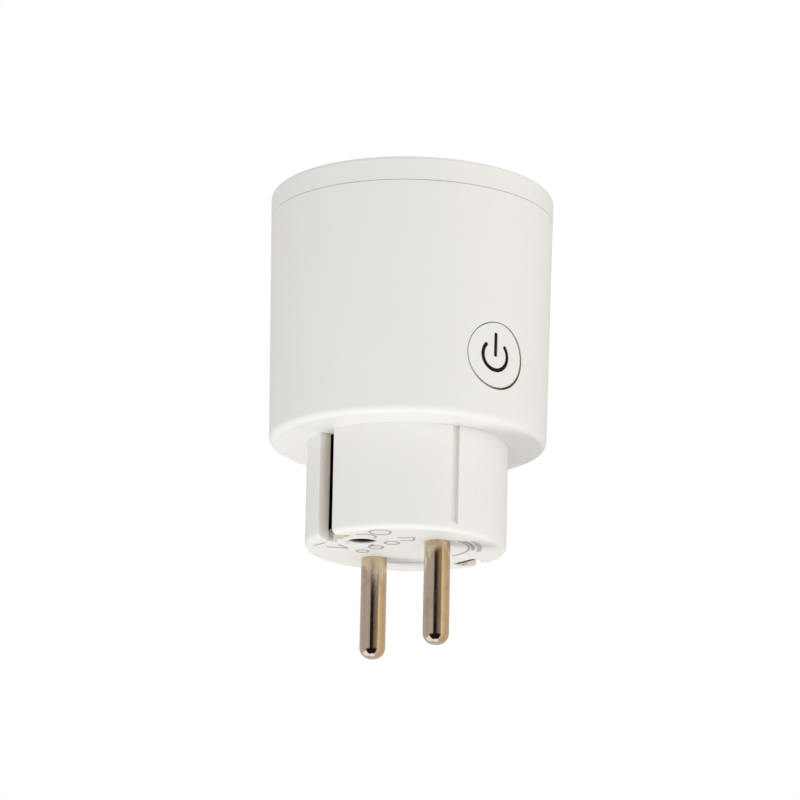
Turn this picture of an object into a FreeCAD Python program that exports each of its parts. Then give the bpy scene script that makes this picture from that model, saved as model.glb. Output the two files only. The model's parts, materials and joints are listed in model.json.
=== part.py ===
"""Round smart plug: a two-pin earthed plug at the bottom, an earthed outlet well at the top, and a
radio-controlled relay between them. Millimetres, +Z from the plug towards the outlet. The origin is the
centre of the plug's face, midway between the two pins, which point down. The power button looks along +X,
in line with the pins, and the earth slots and earth clips lie on the Y axis."""

import math
import os

import FreeCAD
import Part

V = FreeCAD.Vector
ORIGIN = V(0, 0, 0)
AXIS_X = V(1, 0, 0)
AXIS_Y = V(0, 1, 0)
AXIS_Z = V(0, 0, 1)

# ---- driving sizes ------------------------------------------------------------------------------------
# plug pins
pin_pitch = 19.0
pin_diameter = 4.8
pin_length = 19.0
pin_tip_round = 2.1
pin_root_relief = 0.25
pin_mouth_depth = 0.6
pin_collar_radius = 3.5
pin_collar_height = 1.0
pin_stud_radius = 1.8
pin_stud_height = 3.2

# plug face and neck
face_thickness = 3.0
face_round = 1.1
pin_boss_radius = 4.6
pin_boss_height = 2.0
neck_radius = 18.7
neck_height = 19.7
neck_draft = 0.1
neck_wall = 2.0

# hole in the face for an outlet's earth pin
earth_hole_offset = 10.0
earth_hole_diameter = 5.3
earth_hole_lead_in = 0.5
earth_boss_wall = 1.6
earth_boss_height = 4.0

# earth slots on the neck, on both sides of Y
slot_width = 4.1
slot_pocket_width = 6.1
slot_lip_inner = 16.25
slot_floor = 15.9
slot_ramp_height = 2.0
slot_ramp_depth = 1.5
slot_wall = 1.7

# guide grooves on the neck, beside the pins' line
groove_width = 1.35
groove_depth = 0.9
groove_offset = -3.07
groove_run_out = 2.6
groove_end = 0.9

# round body
body_radius = 26.7
body_draft = 0.9
body_height = 48.1
body_wall = 2.0
underside_thickness = 2.2
underside_round = 1.3
cap_height = 4.6
cap_round = 0.7
cap_top_thickness = 1.9
seam_gap = 0.09
skirt_depth = 5.0
skirt_wall = 1.3
snap_bead = 0.45
snap_offset = 3.4

# outlet well
well_radius = 19.6
well_depth = 17.5
well_wall = 1.6
well_floor = 2.2
well_mouth_round = 0.8
outlet_hole_diameter = 5.5
outlet_hole_lead_in = 0.5
guide_rib_width = 5.0
guide_rib_depth = 2.1
guide_rib_below_top = 2.6
clip_window_width = 6.6
clip_window_below_top = 2.6
clip_window_above_floor = 0.8

# shutter that covers the outlet holes
shutter_gap = 2.9
shutter_pad_radius = 3.5
shutter_hub_radius = 5.0
shutter_arm_width = 4.2
shutter_arm_thickness = 1.0
shutter_ramp = 1.1
shutter_pivot_radius = 2.2
shutter_spring_radius = 3.1
shutter_spring_wire = 0.45
shutter_spring_pitch = 0.5
shutter_spring_turns = 3
shutter_spring_leg = 4.0
shutter_peg_radius = 0.5
shutter_peg_x = 2.0

# contact carrier under the shutter
carrier_radius = 18.5
carrier_plate = 1.6
carrier_pocket_wall = 1.0
carrier_pocket_depth = 13.4
carrier_screw_radius_out = 15.8
carrier_screw_count = 3
carrier_screw_turn = 30.0
carrier_boss_radius = 2.2

# split sleeve contacts of the outlet
contact_bore = 5.0
contact_thickness = 0.6
contact_height = 11.6
contact_slit = 1.2
contact_tail_width = 3.0
contact_tail_thickness = 0.8
contact_web_height = 5.0

# earth metalwork
earth_sheet = 0.8
earth_bridge_width = 6.4
earth_upright_width = 5.6
earth_lip_below_top = 4.6
clip_sheet = 0.5
clip_width = 3.6
clip_reach = 15.45
clip_length = 10.2
clip_root_gap = 0.12
clip_root_lap = 0.6
sleeve_bore = 4.9
sleeve_length = 11.5
sleeve_slit = 1.0
sleeve_strap_width = 3.0

# circuit board
board_thickness = 1.6
board_edge_gap = 0.9
board_boss_radius = 2.3
board_boss_ring = 20.6
board_boss_angle = 50.0
board_top = 27.9

# self-tapping screws
screw_shaft_radius = 1.0
screw_head_radius = 1.9
screw_head_height = 1.3
screw_length = 4.2

# power button, light guide and switch
button_height = 31.9
button_radius = 6.0
button_flange = 1.0
button_flange_thickness = 0.8
button_travel = 0.45
button_shift = -0.08
icon_radius = 2.76
icon_stroke = 0.74
icon_shift = -0.33
icon_opening = 50.0
icon_bar_low = -0.3
icon_bar_high = 4.27
icon_depth = 0.08
guide_disc_radius = 5.0
guide_disc_thickness = 0.9
guide_stem_radius = 1.5
guide_stem_length = 1.0
switch_size = 6.0
switch_depth = 3.5
switch_plunger_radius = 1.6
switch_plunger_out = 1.2
switch_plunger_in = 1.3
switch_leg = 0.6

# relay
relay_length = 18.5
relay_width = 10.5
relay_height = 15.3
relay_case_wall = 0.8
relay_base_thickness = 1.3
relay_near_edge = 6.2
relay_coil_radius = 3.7
relay_core_radius = 1.8
relay_coil_offset = 3.2
relay_iron = 1.1
relay_iron_width = 6.0
relay_pole_height = 11.2
relay_release_angle = 3.5
relay_blade = 0.35
relay_blade_width = 4.0
relay_contact_radius = 1.3
relay_contact_gap = 0.1

# radio module
radio_width = 16.0
radio_height = 14.0
radio_board = 0.9
radio_near_edge = 7.6
radio_can = 12.0
radio_can_depth = 1.9

# other electronics
bulk_capacitor_radius = 4.0
bulk_capacitor_height = 12.0
small_capacitor_radius = 3.15
small_capacitor_height = 9.0
film_capacitor = (5.2, 12.6, 10.4)
choke_radius = 2.6
choke_height = 7.5
varistor_radius = 4.6
varistor_thickness = 3.4
lead_radius = 0.35
fuse_radius = 1.9
fuse_length = 8.0
wire_radius = 1.1
tab_thickness = 0.8
tab_radius = 3.3
led_size = (1.6, 2.4, 1.2)

# clearances
running_gap = 0.05
assembly_gap = 0.1
sheet_gap = 0.1
shutter_clearance = 0.3
button_gap = 0.3
button_flange_gap = 0.25
button_board_gap = 0.35
component_gap = 0.1

# ---- places worked out from the sizes -----------------------------------------------------------------
pin_radius = pin_diameter / 2
pin_x = pin_pitch / 2
body_bottom = neck_height
body_top = body_bottom + body_height
seam = body_top - cap_height
floor_inside = body_bottom + underside_thickness
well_floor_top = body_top - well_depth
well_floor_under = well_floor_top - well_floor
carrier_top = well_floor_under - shutter_gap
carrier_under = carrier_top - carrier_plate
board_under = board_top - board_thickness
neck_cavity_radius = neck_radius - neck_wall
slot_back = slot_floor - earth_sheet - sheet_gap
slot_block_half = slot_pocket_width / 2 + slot_wall
slot_block_inner = slot_back - slot_wall
upright_inner = well_radius + well_wall + sheet_gap
upright_outer = upright_inner + earth_sheet
bridge_under = floor_inside + sheet_gap
bridge_top = bridge_under + earth_sheet
lip_under = body_top - earth_lip_below_top
lip_inner = well_radius + well_wall / 2
contact_outer = contact_bore / 2 + contact_thickness
pocket_inner_half = contact_outer + assembly_gap
pocket_outer_half = pocket_inner_half + carrier_pocket_wall
tail_x = pin_x + contact_outer + contact_tail_thickness / 2
OVER = 1.0


def outer_radius(z):
    """The body's drafted outside radius at a height."""
    return body_radius - body_draft * (body_top - z) / body_height


def board_radius():
    return outer_radius(board_under) - body_wall - board_edge_gap


# ---- shape helpers --------------------------------------------------------------------------------------
def block(x0, x1, y0, y1, z0, z1):
    return Part.makeBox(x1 - x0, y1 - y0, z1 - z0, V(x0, y0, z0))


def rod(radius, z0, z1, x=0.0, y=0.0):
    return Part.makeCylinder(radius, z1 - z0, V(x, y, z0), AXIS_Z)


def rod_x(radius, x0, x1, y=0.0, z=0.0):
    return Part.makeCylinder(radius, x1 - x0, V(x0, y, z), AXIS_X)


def rod_y(radius, y0, y1, x=0.0, z=0.0):
    return Part.makeCylinder(radius, y1 - y0, V(x, y0, z), AXIS_Y)


def cone(r0, r1, z0, z1):
    if abs(r0 - r1) < 1e-9:
        return rod(r0, z0, z1)
    return Part.makeCone(r0, r1, z1 - z0, V(0, 0, z0), AXIS_Z)


def fused(shapes):
    first, *rest = shapes
    return first.multiFuse(rest).removeSplitter() if rest else first


def turned_z(shape, degrees):
    turned = shape.copy()
    turned.rotate(ORIGIN, AXIS_Z, degrees)
    return turned


def moved(shape, x=0.0, y=0.0, z=0.0):
    shifted = shape.copy()
    shifted.translate(V(x, y, z))
    return shifted


def rounded_wire(points, radii):
    """A closed wire through the points, with an arc of the given radius at each corner that has one."""
    count = len(points)
    starts = []
    ends = []
    mids = []
    for i, corner in enumerate(points):
        radius = radii.get(i, 0.0)
        if radius == 0.0:
            starts.append(corner)
            ends.append(corner)
            mids.append(None)
            continue
        back = (points[i - 1] - corner).normalize()
        ahead = (points[(i + 1) % count] - corner).normalize()
        half = back.getAngle(ahead) / 2
        reach = radius / math.tan(half)
        bisector = (back + ahead).normalize()
        centre = corner + bisector * (radius / math.sin(half))
        starts.append(corner + back * reach)
        ends.append(corner + ahead * reach)
        mids.append(centre - bisector * radius)
    edges = []
    for i in range(count):
        if mids[i] is not None:
            edges.append(Part.Arc(starts[i], mids[i], ends[i]).toShape())
        following = starts[(i + 1) % count]
        if (following - ends[i]).Length > 1e-7:
            edges.append(Part.LineSegment(ends[i], following).toShape())
    return Part.Wire(edges)


def revolved(outline, radii=None):
    """A solid turned about Z from (radius, height) points."""
    wire = rounded_wire([V(r, 0, z) for r, z in outline], radii or {})
    return Part.Face(wire).revolve(ORIGIN, AXIS_Z, 360)


def pulled_x(outline, x0, x1, radii=None):
    """A solid of constant (y, z) section between two x planes."""
    wire = rounded_wire([V(x0, y, z) for y, z in outline], radii or {})
    return Part.Face(wire).extrude(V(x1 - x0, 0, 0))


def pulled_y(outline, y0, y1, radii=None):
    """A solid of constant (x, z) section between two y planes."""
    wire = rounded_wire([V(x, y0, z) for x, z in outline], radii or {})
    return Part.Face(wire).extrude(V(0, y1 - y0, 0))


def strip_section(centreline, thickness):
    """The outline of a bent strip: its centreline's points moved half a thickness to each side."""
    left = []
    right = []
    last = len(centreline) - 1
    for i, (a, b) in enumerate(centreline):
        before = centreline[max(i - 1, 0)]
        after = centreline[min(i + 1, last)]
        into = V(a - before[0], b - before[1], 0)
        out = V(after[0] - a, after[1] - b, 0)
        into = into.normalize() if into.Length > 0 else out.normalize()
        out = out.normalize() if out.Length > 0 else into
        along = (into + out).normalize()
        side = V(-along.y, along.x, 0)
        stretch = thickness / 2 / math.cos(into.getAngle(out) / 2)
        left.append((a + side.x * stretch, b + side.y * stretch))
        right.append((a - side.x * stretch, b - side.y * stretch))
    return left + right[::-1]


def tube_along(points, radius, bend_share=0.45):
    """A round wire through points in space, its corners turned into tangent arcs."""
    places = [V(*p) for p in points]
    edges = []
    start = places[0]
    for before, corner, after in zip(places, places[1:], places[2:]):
        back = before - corner
        ahead = after - corner
        reach = bend_share * min(back.Length, ahead.Length)
        back.normalize()
        ahead.normalize()
        half = back.getAngle(ahead) / 2
        bend = reach * math.tan(half)
        bisector = (back + ahead).normalize()
        centre = corner + bisector * (bend / math.sin(half))
        first = corner + back * reach
        second = corner + ahead * reach
        edges.append(Part.LineSegment(start, first).toShape())
        edges.append(Part.Arc(first, centre - bisector * bend, second).toShape())
        start = second
    edges.append(Part.LineSegment(start, places[-1]).toShape())
    path = Part.Wire(edges)
    direction = places[1] - places[0]
    ring = Part.Wire(Part.Circle(places[0], direction, radius).toShape())
    return path.makePipeShell([ring], True, True)


# ---- plug and housing -----------------------------------------------------------------------------------
def neck_cavity():
    """The neck's inside: round, less the walls round the earth slots and the bosses on the face."""
    cavity = rod(neck_cavity_radius, face_thickness, floor_inside + OVER)
    deep = neck_radius + OVER
    walls = []
    for side in (-1, 1):
        y_pair = sorted((side * slot_block_inner, side * deep))
        walls.append(block(-slot_block_half, slot_block_half, *y_pair, 0, floor_inside + 2 * OVER))
    walls.append(rod(earth_boss_radius(), 0, earth_boss_top(), y=-earth_hole_offset))
    for side in (-1, 1):
        walls.append(rod(pin_boss_radius, 0, pin_boss_top(), x=side * pin_x))
    return cavity.cut(fused(walls))


def earth_boss_radius():
    return sleeve_outer() + assembly_gap + earth_boss_wall


def earth_boss_top():
    return face_thickness + earth_boss_height


def sleeve_outer():
    return sleeve_bore / 2 + earth_sheet


def pin_boss_top():
    return face_thickness + pin_boss_height


def earth_slot(side):
    """One side contact's slot: a narrow mouth down the neck over a wider pocket, with a ramp at the face."""
    half = slot_width / 2
    pocket_half = slot_pocket_width / 2
    ramp_y = slot_back - slot_ramp_depth - sheet_gap
    mouth = block(-half, half, slot_back, neck_radius + OVER, -OVER, body_bottom)
    pocket = [
        (slot_back, floor_inside + OVER),
        (slot_back, slot_ramp_height),
        (ramp_y, 0),
        (ramp_y, -OVER),
        (slot_lip_inner, -OVER),
        (slot_lip_inner, body_bottom),
        (slot_floor + sheet_gap, body_bottom),
        (slot_floor + sheet_gap, floor_inside + OVER),
    ]
    cut = fused([mouth, pulled_x(pocket, -pocket_half, pocket_half)])
    return cut if side > 0 else turned_z(cut, 180)


def guide_groove(side):
    """A narrow groove down the neck, beside the pins' line, whose floor runs out at the face."""
    deep = neck_radius - groove_depth
    far = neck_radius + OVER
    outline = [
        (deep, body_bottom),
        (deep, groove_run_out),
        (neck_radius, groove_end),
        (far, groove_end),
        (far, body_bottom),
    ]
    low = groove_offset - groove_width / 2
    cut = pulled_y(outline, low, low + groove_width)
    return cut if side > 0 else turned_z(cut, 180)


def board_boss_places():
    angles = (board_boss_angle, 180 - board_boss_angle, 180 + board_boss_angle, -board_boss_angle)
    ring = board_boss_ring
    return [(ring * math.cos(math.radians(a)), ring * math.sin(math.radians(a))) for a in angles]


def make_housing():
    """The one-piece shell: sleeve, underside, neck and face."""
    neck_foot = neck_radius - neck_draft
    outline = [
        (0, 0),
        (neck_foot, 0),
        (neck_radius, body_bottom),
        (outer_radius(body_bottom), body_bottom),
        (outer_radius(seam), seam),
        (0, seam),
    ]
    shell = revolved(outline, {1: face_round, 3: underside_round})
    inner_low = outer_radius(floor_inside) - body_wall
    inner_high = outer_radius(seam) - body_wall
    slope = (inner_high - inner_low) / (seam - floor_inside)
    cavity = cone(inner_low, inner_high + slope * OVER, floor_inside, seam + OVER)
    snap_z = seam - snap_offset
    snap_r = outer_radius(snap_z) - body_wall
    groove = [
        (snap_r - OVER, snap_z - 2 * snap_bead - assembly_gap),
        (snap_r, snap_z - 2 * snap_bead - assembly_gap),
        (snap_r + snap_bead + assembly_gap, snap_z),
        (snap_r, snap_z + 2 * snap_bead + assembly_gap),
        (snap_r - OVER, snap_z + 2 * snap_bead + assembly_gap),
    ]
    cuts = [cavity, neck_cavity(), revolved(groove)]
    cuts += [earth_slot(side) for side in (-1, 1)]
    cuts += [guide_groove(side) for side in (-1, 1)]
    for side in (-1, 1):
        cuts.append(rod(pin_radius - pin_root_relief, -OVER, pin_boss_top() + OVER, x=side * pin_x))
        cuts.append(rod(pin_radius, -OVER, pin_mouth_depth, x=side * pin_x))
    hole = earth_hole_diameter / 2
    wide = hole + earth_hole_lead_in + OVER
    cuts.append(rod(hole, -OVER, face_thickness + OVER, y=-earth_hole_offset))
    cuts.append(moved(cone(wide, hole, -OVER, earth_hole_lead_in), y=-earth_hole_offset))
    seat = sleeve_outer() + assembly_gap
    cuts.append(rod(seat, face_thickness, earth_boss_top() + OVER, y=-earth_hole_offset))
    cuts.append(rod_x(button_radius + button_gap, 0, body_radius + OVER, z=button_height))
    for part in cuts:
        shell = shell.cut(part)
    for x, y in board_boss_places():
        boss = rod(board_boss_radius, floor_inside - OVER, board_under, x, y)
        pilot = rod(screw_shaft_radius, board_under - screw_length, board_under + OVER, x, y)
        shell = shell.fuse(boss).cut(pilot)
    return shell.removeSplitter()


def make_pin(side):
    """A solid round pin: rounded tip, shank through the face, collar on its boss and a stud for the tab."""
    top = pin_boss_top()
    outline = [
        (0, -pin_length),
        (pin_radius, -pin_length),
        (pin_radius, 0),
        (pin_radius - pin_root_relief, 0),
        (pin_radius - pin_root_relief, top),
        (pin_collar_radius, top),
        (pin_collar_radius, top + pin_collar_height),
        (pin_stud_radius, top + pin_collar_height),
        (pin_stud_radius, top + pin_collar_height + pin_stud_height),
        (0, top + pin_collar_height + pin_stud_height),
    ]
    return moved(revolved(outline, {1: pin_tip_round}), x=side * pin_x)


def tab_places(side):
    """Where a pin's tab lies and where its wire starts."""
    low = pin_boss_top() + pin_collar_height
    return low, low + tab_thickness, side * pin_x, tab_radius + wire_radius


def make_pin_tab(side):
    """A ring tab on the pin's stud with a barrel that takes the wire."""
    low, high, x, reach = tab_places(side)
    ring = rod(tab_radius, low, high, x)
    tongue = block(x - wire_radius - 0.4, x + wire_radius + 0.4, 0, reach, low, high)
    barrel = rod(wire_radius + 0.4, low, high + 3.0, x, reach)
    tab = fused([ring, tongue, barrel])
    tab = tab.cut(rod(pin_stud_radius, low - OVER, high + OVER, x))
    return tab.cut(rod(wire_radius, high, high + 3.0 + OVER, x, reach))


def make_pin_wire(side):
    """The lead from a pin's barrel up to the board, with a gentle set towards the middle."""
    low, high, x, reach = tab_places(side)
    lean = side * 1.6
    top = board_under
    span = top - high
    points = [
        (x, reach, high),
        (x, reach, high + 0.32 * span),
        (x - lean, reach + 1.4, high + 0.68 * span),
        (x - lean, reach + 1.4, top),
    ]
    return tube_along(points, wire_radius)


# ---- outlet ---------------------------------------------------------------------------------------------
def carrier_screw_places():
    step = 360.0 / carrier_screw_count
    places = []
    for i in range(carrier_screw_count):
        angle = math.radians(carrier_screw_turn + i * step)
        ring = carrier_screw_radius_out
        places.append((ring * math.cos(angle), ring * math.sin(angle)))
    return places


def make_socket_cover():
    """The cap ring and the outlet well in one moulding, with a skirt that snaps into the housing."""
    cap_low = seam + seam_gap
    rim = outer_radius(body_top)
    rim_low = outer_radius(cap_low)
    skirt_out = outer_radius(seam) - body_wall - assembly_gap - body_draft * skirt_depth / body_height
    skirt_in = skirt_out - skirt_wall
    skirt_low = seam - skirt_depth
    top_under = body_top - cap_top_thickness
    well_out = well_radius + well_wall
    outline = [
        (0, well_floor_under),
        (well_out, well_floor_under),
        (well_out, top_under),
        (skirt_in, top_under),
        (skirt_in, skirt_low),
        (skirt_out, skirt_low),
        (skirt_out, cap_low),
        (rim_low, cap_low),
        (rim, body_top),
        (well_radius, body_top),
        (well_radius, well_floor_top),
        (0, well_floor_top),
    ]
    cover = revolved(outline, {8: cap_round, 9: well_mouth_round})
    snap_z = seam - snap_offset
    bead = [
        (skirt_out - skirt_wall / 2, snap_z - 2 * snap_bead),
        (skirt_out, snap_z - 2 * snap_bead),
        (skirt_out + snap_bead, snap_z),
        (skirt_out, snap_z + 2 * snap_bead),
        (skirt_out - skirt_wall / 2, snap_z + 2 * snap_bead),
    ]
    parts = [cover, revolved(bead)]
    rib_top = body_top - guide_rib_below_top
    for side in (-1, 1):
        x_pair = sorted((side * (well_radius - guide_rib_depth), side * (well_radius + well_wall / 2)))
        parts.append(block(*x_pair, -guide_rib_width / 2, guide_rib_width / 2, well_floor_top - 0.5, rib_top))
    for x, y in carrier_screw_places():
        parts.append(rod(carrier_boss_radius, carrier_top, well_floor_under + 0.5, x, y))
    parts.append(rod(shutter_pivot_radius, carrier_top + assembly_gap, well_floor_under + 0.5))
    cover = fused(parts)
    cuts = []
    for side in (-1, 1):
        hole = rod(outlet_hole_diameter / 2, well_floor_under - OVER, well_floor_top + OVER, x=side * pin_x)
        lead = outlet_hole_lead_in
        sink = Part.makeCone(
            outlet_hole_diameter / 2,
            outlet_hole_diameter / 2 + lead,
            lead,
            V(side * pin_x, 0, well_floor_top - lead),
            AXIS_Z,
        )
        cuts += [hole, sink]
        y_pair = sorted((side * (well_radius - OVER), side * (well_out + OVER)))
        half = clip_window_width / 2
        window_low = well_floor_top + clip_window_above_floor
        cuts.append(block(-half, half, *y_pair, window_low, body_top - clip_window_below_top))
    for x, y in carrier_screw_places():
        cuts.append(rod(screw_shaft_radius, carrier_top - OVER, carrier_top + screw_length - 1.2, x, y))
    for part in cuts:
        cover = cover.cut(part)
    return cover


def shutter_heights():
    return carrier_top + shutter_clearance, well_floor_under - shutter_clearance


def make_shutter():
    """The rotor that covers both outlet holes; a plug's two pins push its ramps and turn it aside."""
    low, high = shutter_heights()
    arm_low = high - shutter_arm_thickness
    parts = [rod(shutter_hub_radius, arm_low, high)]
    half = shutter_arm_width / 2
    parts.append(block(-pin_x, pin_x, -half, half, arm_low, high))
    for side in (-1, 1):
        parts.append(rod(shutter_pad_radius, low, high, x=side * pin_x))
    rotor = fused(parts)
    rotor = rotor.cut(rod(shutter_pivot_radius + running_gap, low - OVER, high + OVER))
    far = pin_x + shutter_pad_radius + OVER
    near = pin_x - shutter_pad_radius + 0.8
    ramp = pulled_x(
        [
            (-shutter_pad_radius, high - shutter_ramp),
            (shutter_pad_radius, high),
            (shutter_pad_radius, high + OVER),
            (-shutter_pad_radius - OVER, high + OVER),
            (-shutter_pad_radius - OVER, high - shutter_ramp),
        ],
        near,
        far,
    )
    rotor = rotor.cut(ramp).cut(turned_z(ramp, 180))
    peg = rod(shutter_peg_radius, arm_low - 1.1, arm_low + 0.2, -shutter_peg_x, spring_peg_y())
    return rotor.fuse(peg)


def spring_peg_y():
    """Y of the pegs that the torsion spring's two legs bear on."""
    return shutter_spring_radius + shutter_spring_wire / 2 + running_gap + shutter_peg_radius


def make_shutter_spring():
    """A tight torsion spring round the pivot: stacked turns joined by a riser, with a leg at each end."""
    wire = shutter_spring_wire / 2
    low = carrier_top + wire + running_gap
    high = low + shutter_spring_pitch * (shutter_spring_turns - 1)
    parts = []
    for i in range(shutter_spring_turns):
        level = low + i * shutter_spring_pitch
        parts.append(Part.makeTorus(shutter_spring_radius, wire, V(0, 0, level), AXIS_Z))
    parts.append(rod(wire * 0.9, low, high, 0, -shutter_spring_radius))
    leg = shutter_spring_leg
    parts.append(rod_x(wire * 0.9, -0.3, leg, shutter_spring_radius, low))
    parts.append(rod_x(wire * 0.9, -leg, 0.3, shutter_spring_radius, high))
    return fused(parts)


def make_contact_carrier():
    """The insulating plate that closes the shutter's chamber, with a pocket for each contact."""
    plate = rod(carrier_radius, carrier_under, carrier_top)
    pocket_low = carrier_under - carrier_pocket_depth
    parts = [plate]
    for side in (-1, 1):
        outer = pocket_outer_half
        x_pair = sorted((side * (pin_x - outer), side * (tail_x + contact_tail_thickness / 2 + 1.2)))
        parts.append(block(*x_pair, -outer, outer, pocket_low, carrier_under))
    carrier = fused(parts)
    cuts = []
    for side in (-1, 1):
        cuts.append(rod(outlet_hole_diameter / 2, carrier_under - OVER, carrier_top + OVER, x=side * pin_x))
        cuts.append(rod(pocket_inner_half, pocket_low - OVER, carrier_under, x=side * pin_x))
        half = contact_tail_width / 2 + assembly_gap
        edge = tail_x + contact_tail_thickness / 2 + assembly_gap
        x_pair = sorted((side * pin_x, side * edge))
        cuts.append(block(*x_pair, -half, half, pocket_low - OVER, carrier_under))
    for x, y in carrier_screw_places():
        cuts.append(rod(screw_shaft_radius + assembly_gap, carrier_under - OVER, carrier_top + OVER, x, y))
    for part in cuts:
        carrier = carrier.cut(part)
    peg_x = shutter_spring_leg - shutter_peg_radius
    return carrier.fuse(rod(shutter_peg_radius, carrier_top - 0.2, carrier_top + 0.9, peg_x, spring_peg_y()))


def make_contact(side):
    """A sleeve of sheet brass, slit into fingers, with a tail that is soldered into the board."""
    top = carrier_under - assembly_gap
    low = top - contact_height
    sleeve = rod(contact_outer, low, top).cut(rod(contact_bore / 2, low - OVER, top + OVER))
    lead = Part.makeCone(contact_bore / 2, contact_outer - 0.15, 0.8, V(0, 0, top - 0.8), AXIS_Z)
    sleeve = sleeve.cut(lead)
    half = contact_slit / 2
    reach = contact_outer + OVER
    finger_low = low + contact_web_height
    sleeve = sleeve.cut(block(-reach, 0, -half, half, low - OVER, top + OVER))
    sleeve = sleeve.cut(block(-half, half, -reach, reach, finger_low, top + OVER))
    tail_mid = contact_outer + contact_tail_thickness / 2
    x0 = tail_mid - contact_tail_thickness / 2 - 0.25
    x1 = tail_mid + contact_tail_thickness / 2
    wide = contact_tail_width / 2
    web = block(x0, x1, -wide, wide, low, finger_low).cut(rod(contact_outer - 0.1, low, finger_low))
    tail = block(x1 - contact_tail_thickness, x1, -wide, wide, board_under - 1.4, low + 0.2)
    contact = fused([sleeve, web, tail])
    if side < 0:
        contact = turned_z(contact, 180)
    return moved(contact, x=side * pin_x)


def make_screw(x, y, head_z, down):
    """A pan-head self-tapping screw: the head sits at head_z, and the shaft runs down or up from it."""
    head = rod(screw_head_radius, 0, screw_head_height)
    rim = [edge for edge in head.Edges if edge.BoundBox.ZMin > screw_head_height - 1e-6]
    head = head.makeFillet(0.5, rim[:1])
    cross = fused([block(-1.1, 1.1, -0.25, 0.25, 0.6, 2.0), block(-0.25, 0.25, -1.1, 1.1, 0.6, 2.0)])
    point = Part.makeCone(0.25, screw_shaft_radius, 0.8, V(0, 0, -screw_length + 0.2), AXIS_Z)
    shaft = rod(screw_shaft_radius, -screw_length + 1.0, 0)
    screw = fused([head, shaft, point]).cut(cross)
    if not down:
        screw.rotate(ORIGIN, AXIS_X, 180)
    return moved(screw, x, y, head_z)


def make_carrier_screws():
    return Part.makeCompound([make_screw(x, y, carrier_under, False) for x, y in carrier_screw_places()])


def make_board_screws():
    return Part.makeCompound([make_screw(x, y, board_top, True) for x, y in board_boss_places()])


# ---- earth metalwork ------------------------------------------------------------------------------------
def make_earth_frame():
    """One bent sheet: a bridge across the neck, side contacts down the slots and uprights to the clips."""
    half = earth_bridge_width / 2
    bridge = block(-half, half, -upright_outer, upright_outer, bridge_under, bridge_top)
    parts = [bridge]
    leg_half = slot_pocket_width / 2 - sheet_gap - 0.1
    up_half = earth_upright_width / 2
    leg_mid = slot_floor - earth_sheet / 2
    leg = strip_section(
        [
            (leg_mid - slot_ramp_depth + 0.25, 0.35),
            (leg_mid, slot_ramp_height),
            (leg_mid, bridge_top),
        ],
        earth_sheet,
    )
    upright_mid = (upright_inner + upright_outer) / 2
    lip_mid = lip_under + earth_sheet / 2
    upright = strip_section(
        [(upright_mid, bridge_under), (upright_mid, lip_mid), (lip_inner, lip_mid)],
        earth_sheet,
    )
    for turn in (0, 180):
        parts.append(turned_z(pulled_x(leg, -leg_half, leg_half), turn))
        parts.append(turned_z(pulled_x(upright, -up_half, up_half), turn))
    return fused(parts)


def clip_pivot():
    """Height and distance from the axis of the root about which a clip's leaf bends."""
    return lip_under - clip_root_gap - clip_sheet / 2, lip_inner + clip_root_lap


def make_earth_clip(side):
    """A leaf that hangs from the frame's lip and bows into the well to meet a plug's side contact."""
    root_z, root_y = clip_pivot()
    bow = clip_reach + clip_sheet / 2
    line = [
        (root_y, root_z),
        (root_y - clip_root_lap - 1.4, root_z),
        (root_y - clip_root_lap - 2.3, root_z - 0.9),
        (bow, root_z - 0.52 * clip_length),
        (bow, root_z - 0.6 * clip_length),
        (root_y - clip_root_lap - 1.9, root_z - clip_length),
    ]
    leaf = pulled_x(strip_section(line, clip_sheet), -clip_width / 2, clip_width / 2)
    return leaf if side > 0 else turned_z(leaf, 180)


def make_earth_sleeve():
    """The spring sleeve behind the face's hole, with a strap up to the bridge."""
    low = face_thickness + assembly_gap
    high = low + sleeve_length
    bore = sleeve_outer() - earth_sheet
    y = -earth_hole_offset
    sleeve = rod(sleeve_outer(), low, high, y=y).cut(rod(bore, low - OVER, high + OVER, y=y))
    half = sleeve_slit / 2
    slit_low = low + sleeve_length * 0.35
    sleeve = sleeve.cut(block(-half, half, y - sleeve_outer() - OVER, y, low - OVER, high + OVER))
    sleeve = sleeve.cut(block(-half, half, y, y + sleeve_outer() + OVER, low - OVER, slit_low))
    inner = y + sleeve_outer()
    wide = sleeve_strap_width / 2
    strap = block(-wide, wide, inner - earth_sheet * 0.6, inner + earth_sheet * 0.4, high - 2.0, bridge_under)
    strap = strap.cut(rod(bore, low, high + OVER, y=y))
    return fused([sleeve, strap])


# ---- button, light guide and switch ---------------------------------------------------------------------
def drafted_solid(inset, z0, z1):
    """The body's drafted cone, its radius less an inset, between two heights."""
    return cone(outer_radius(z0) - inset, outer_radius(z1) - inset, z0, z1)


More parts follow.
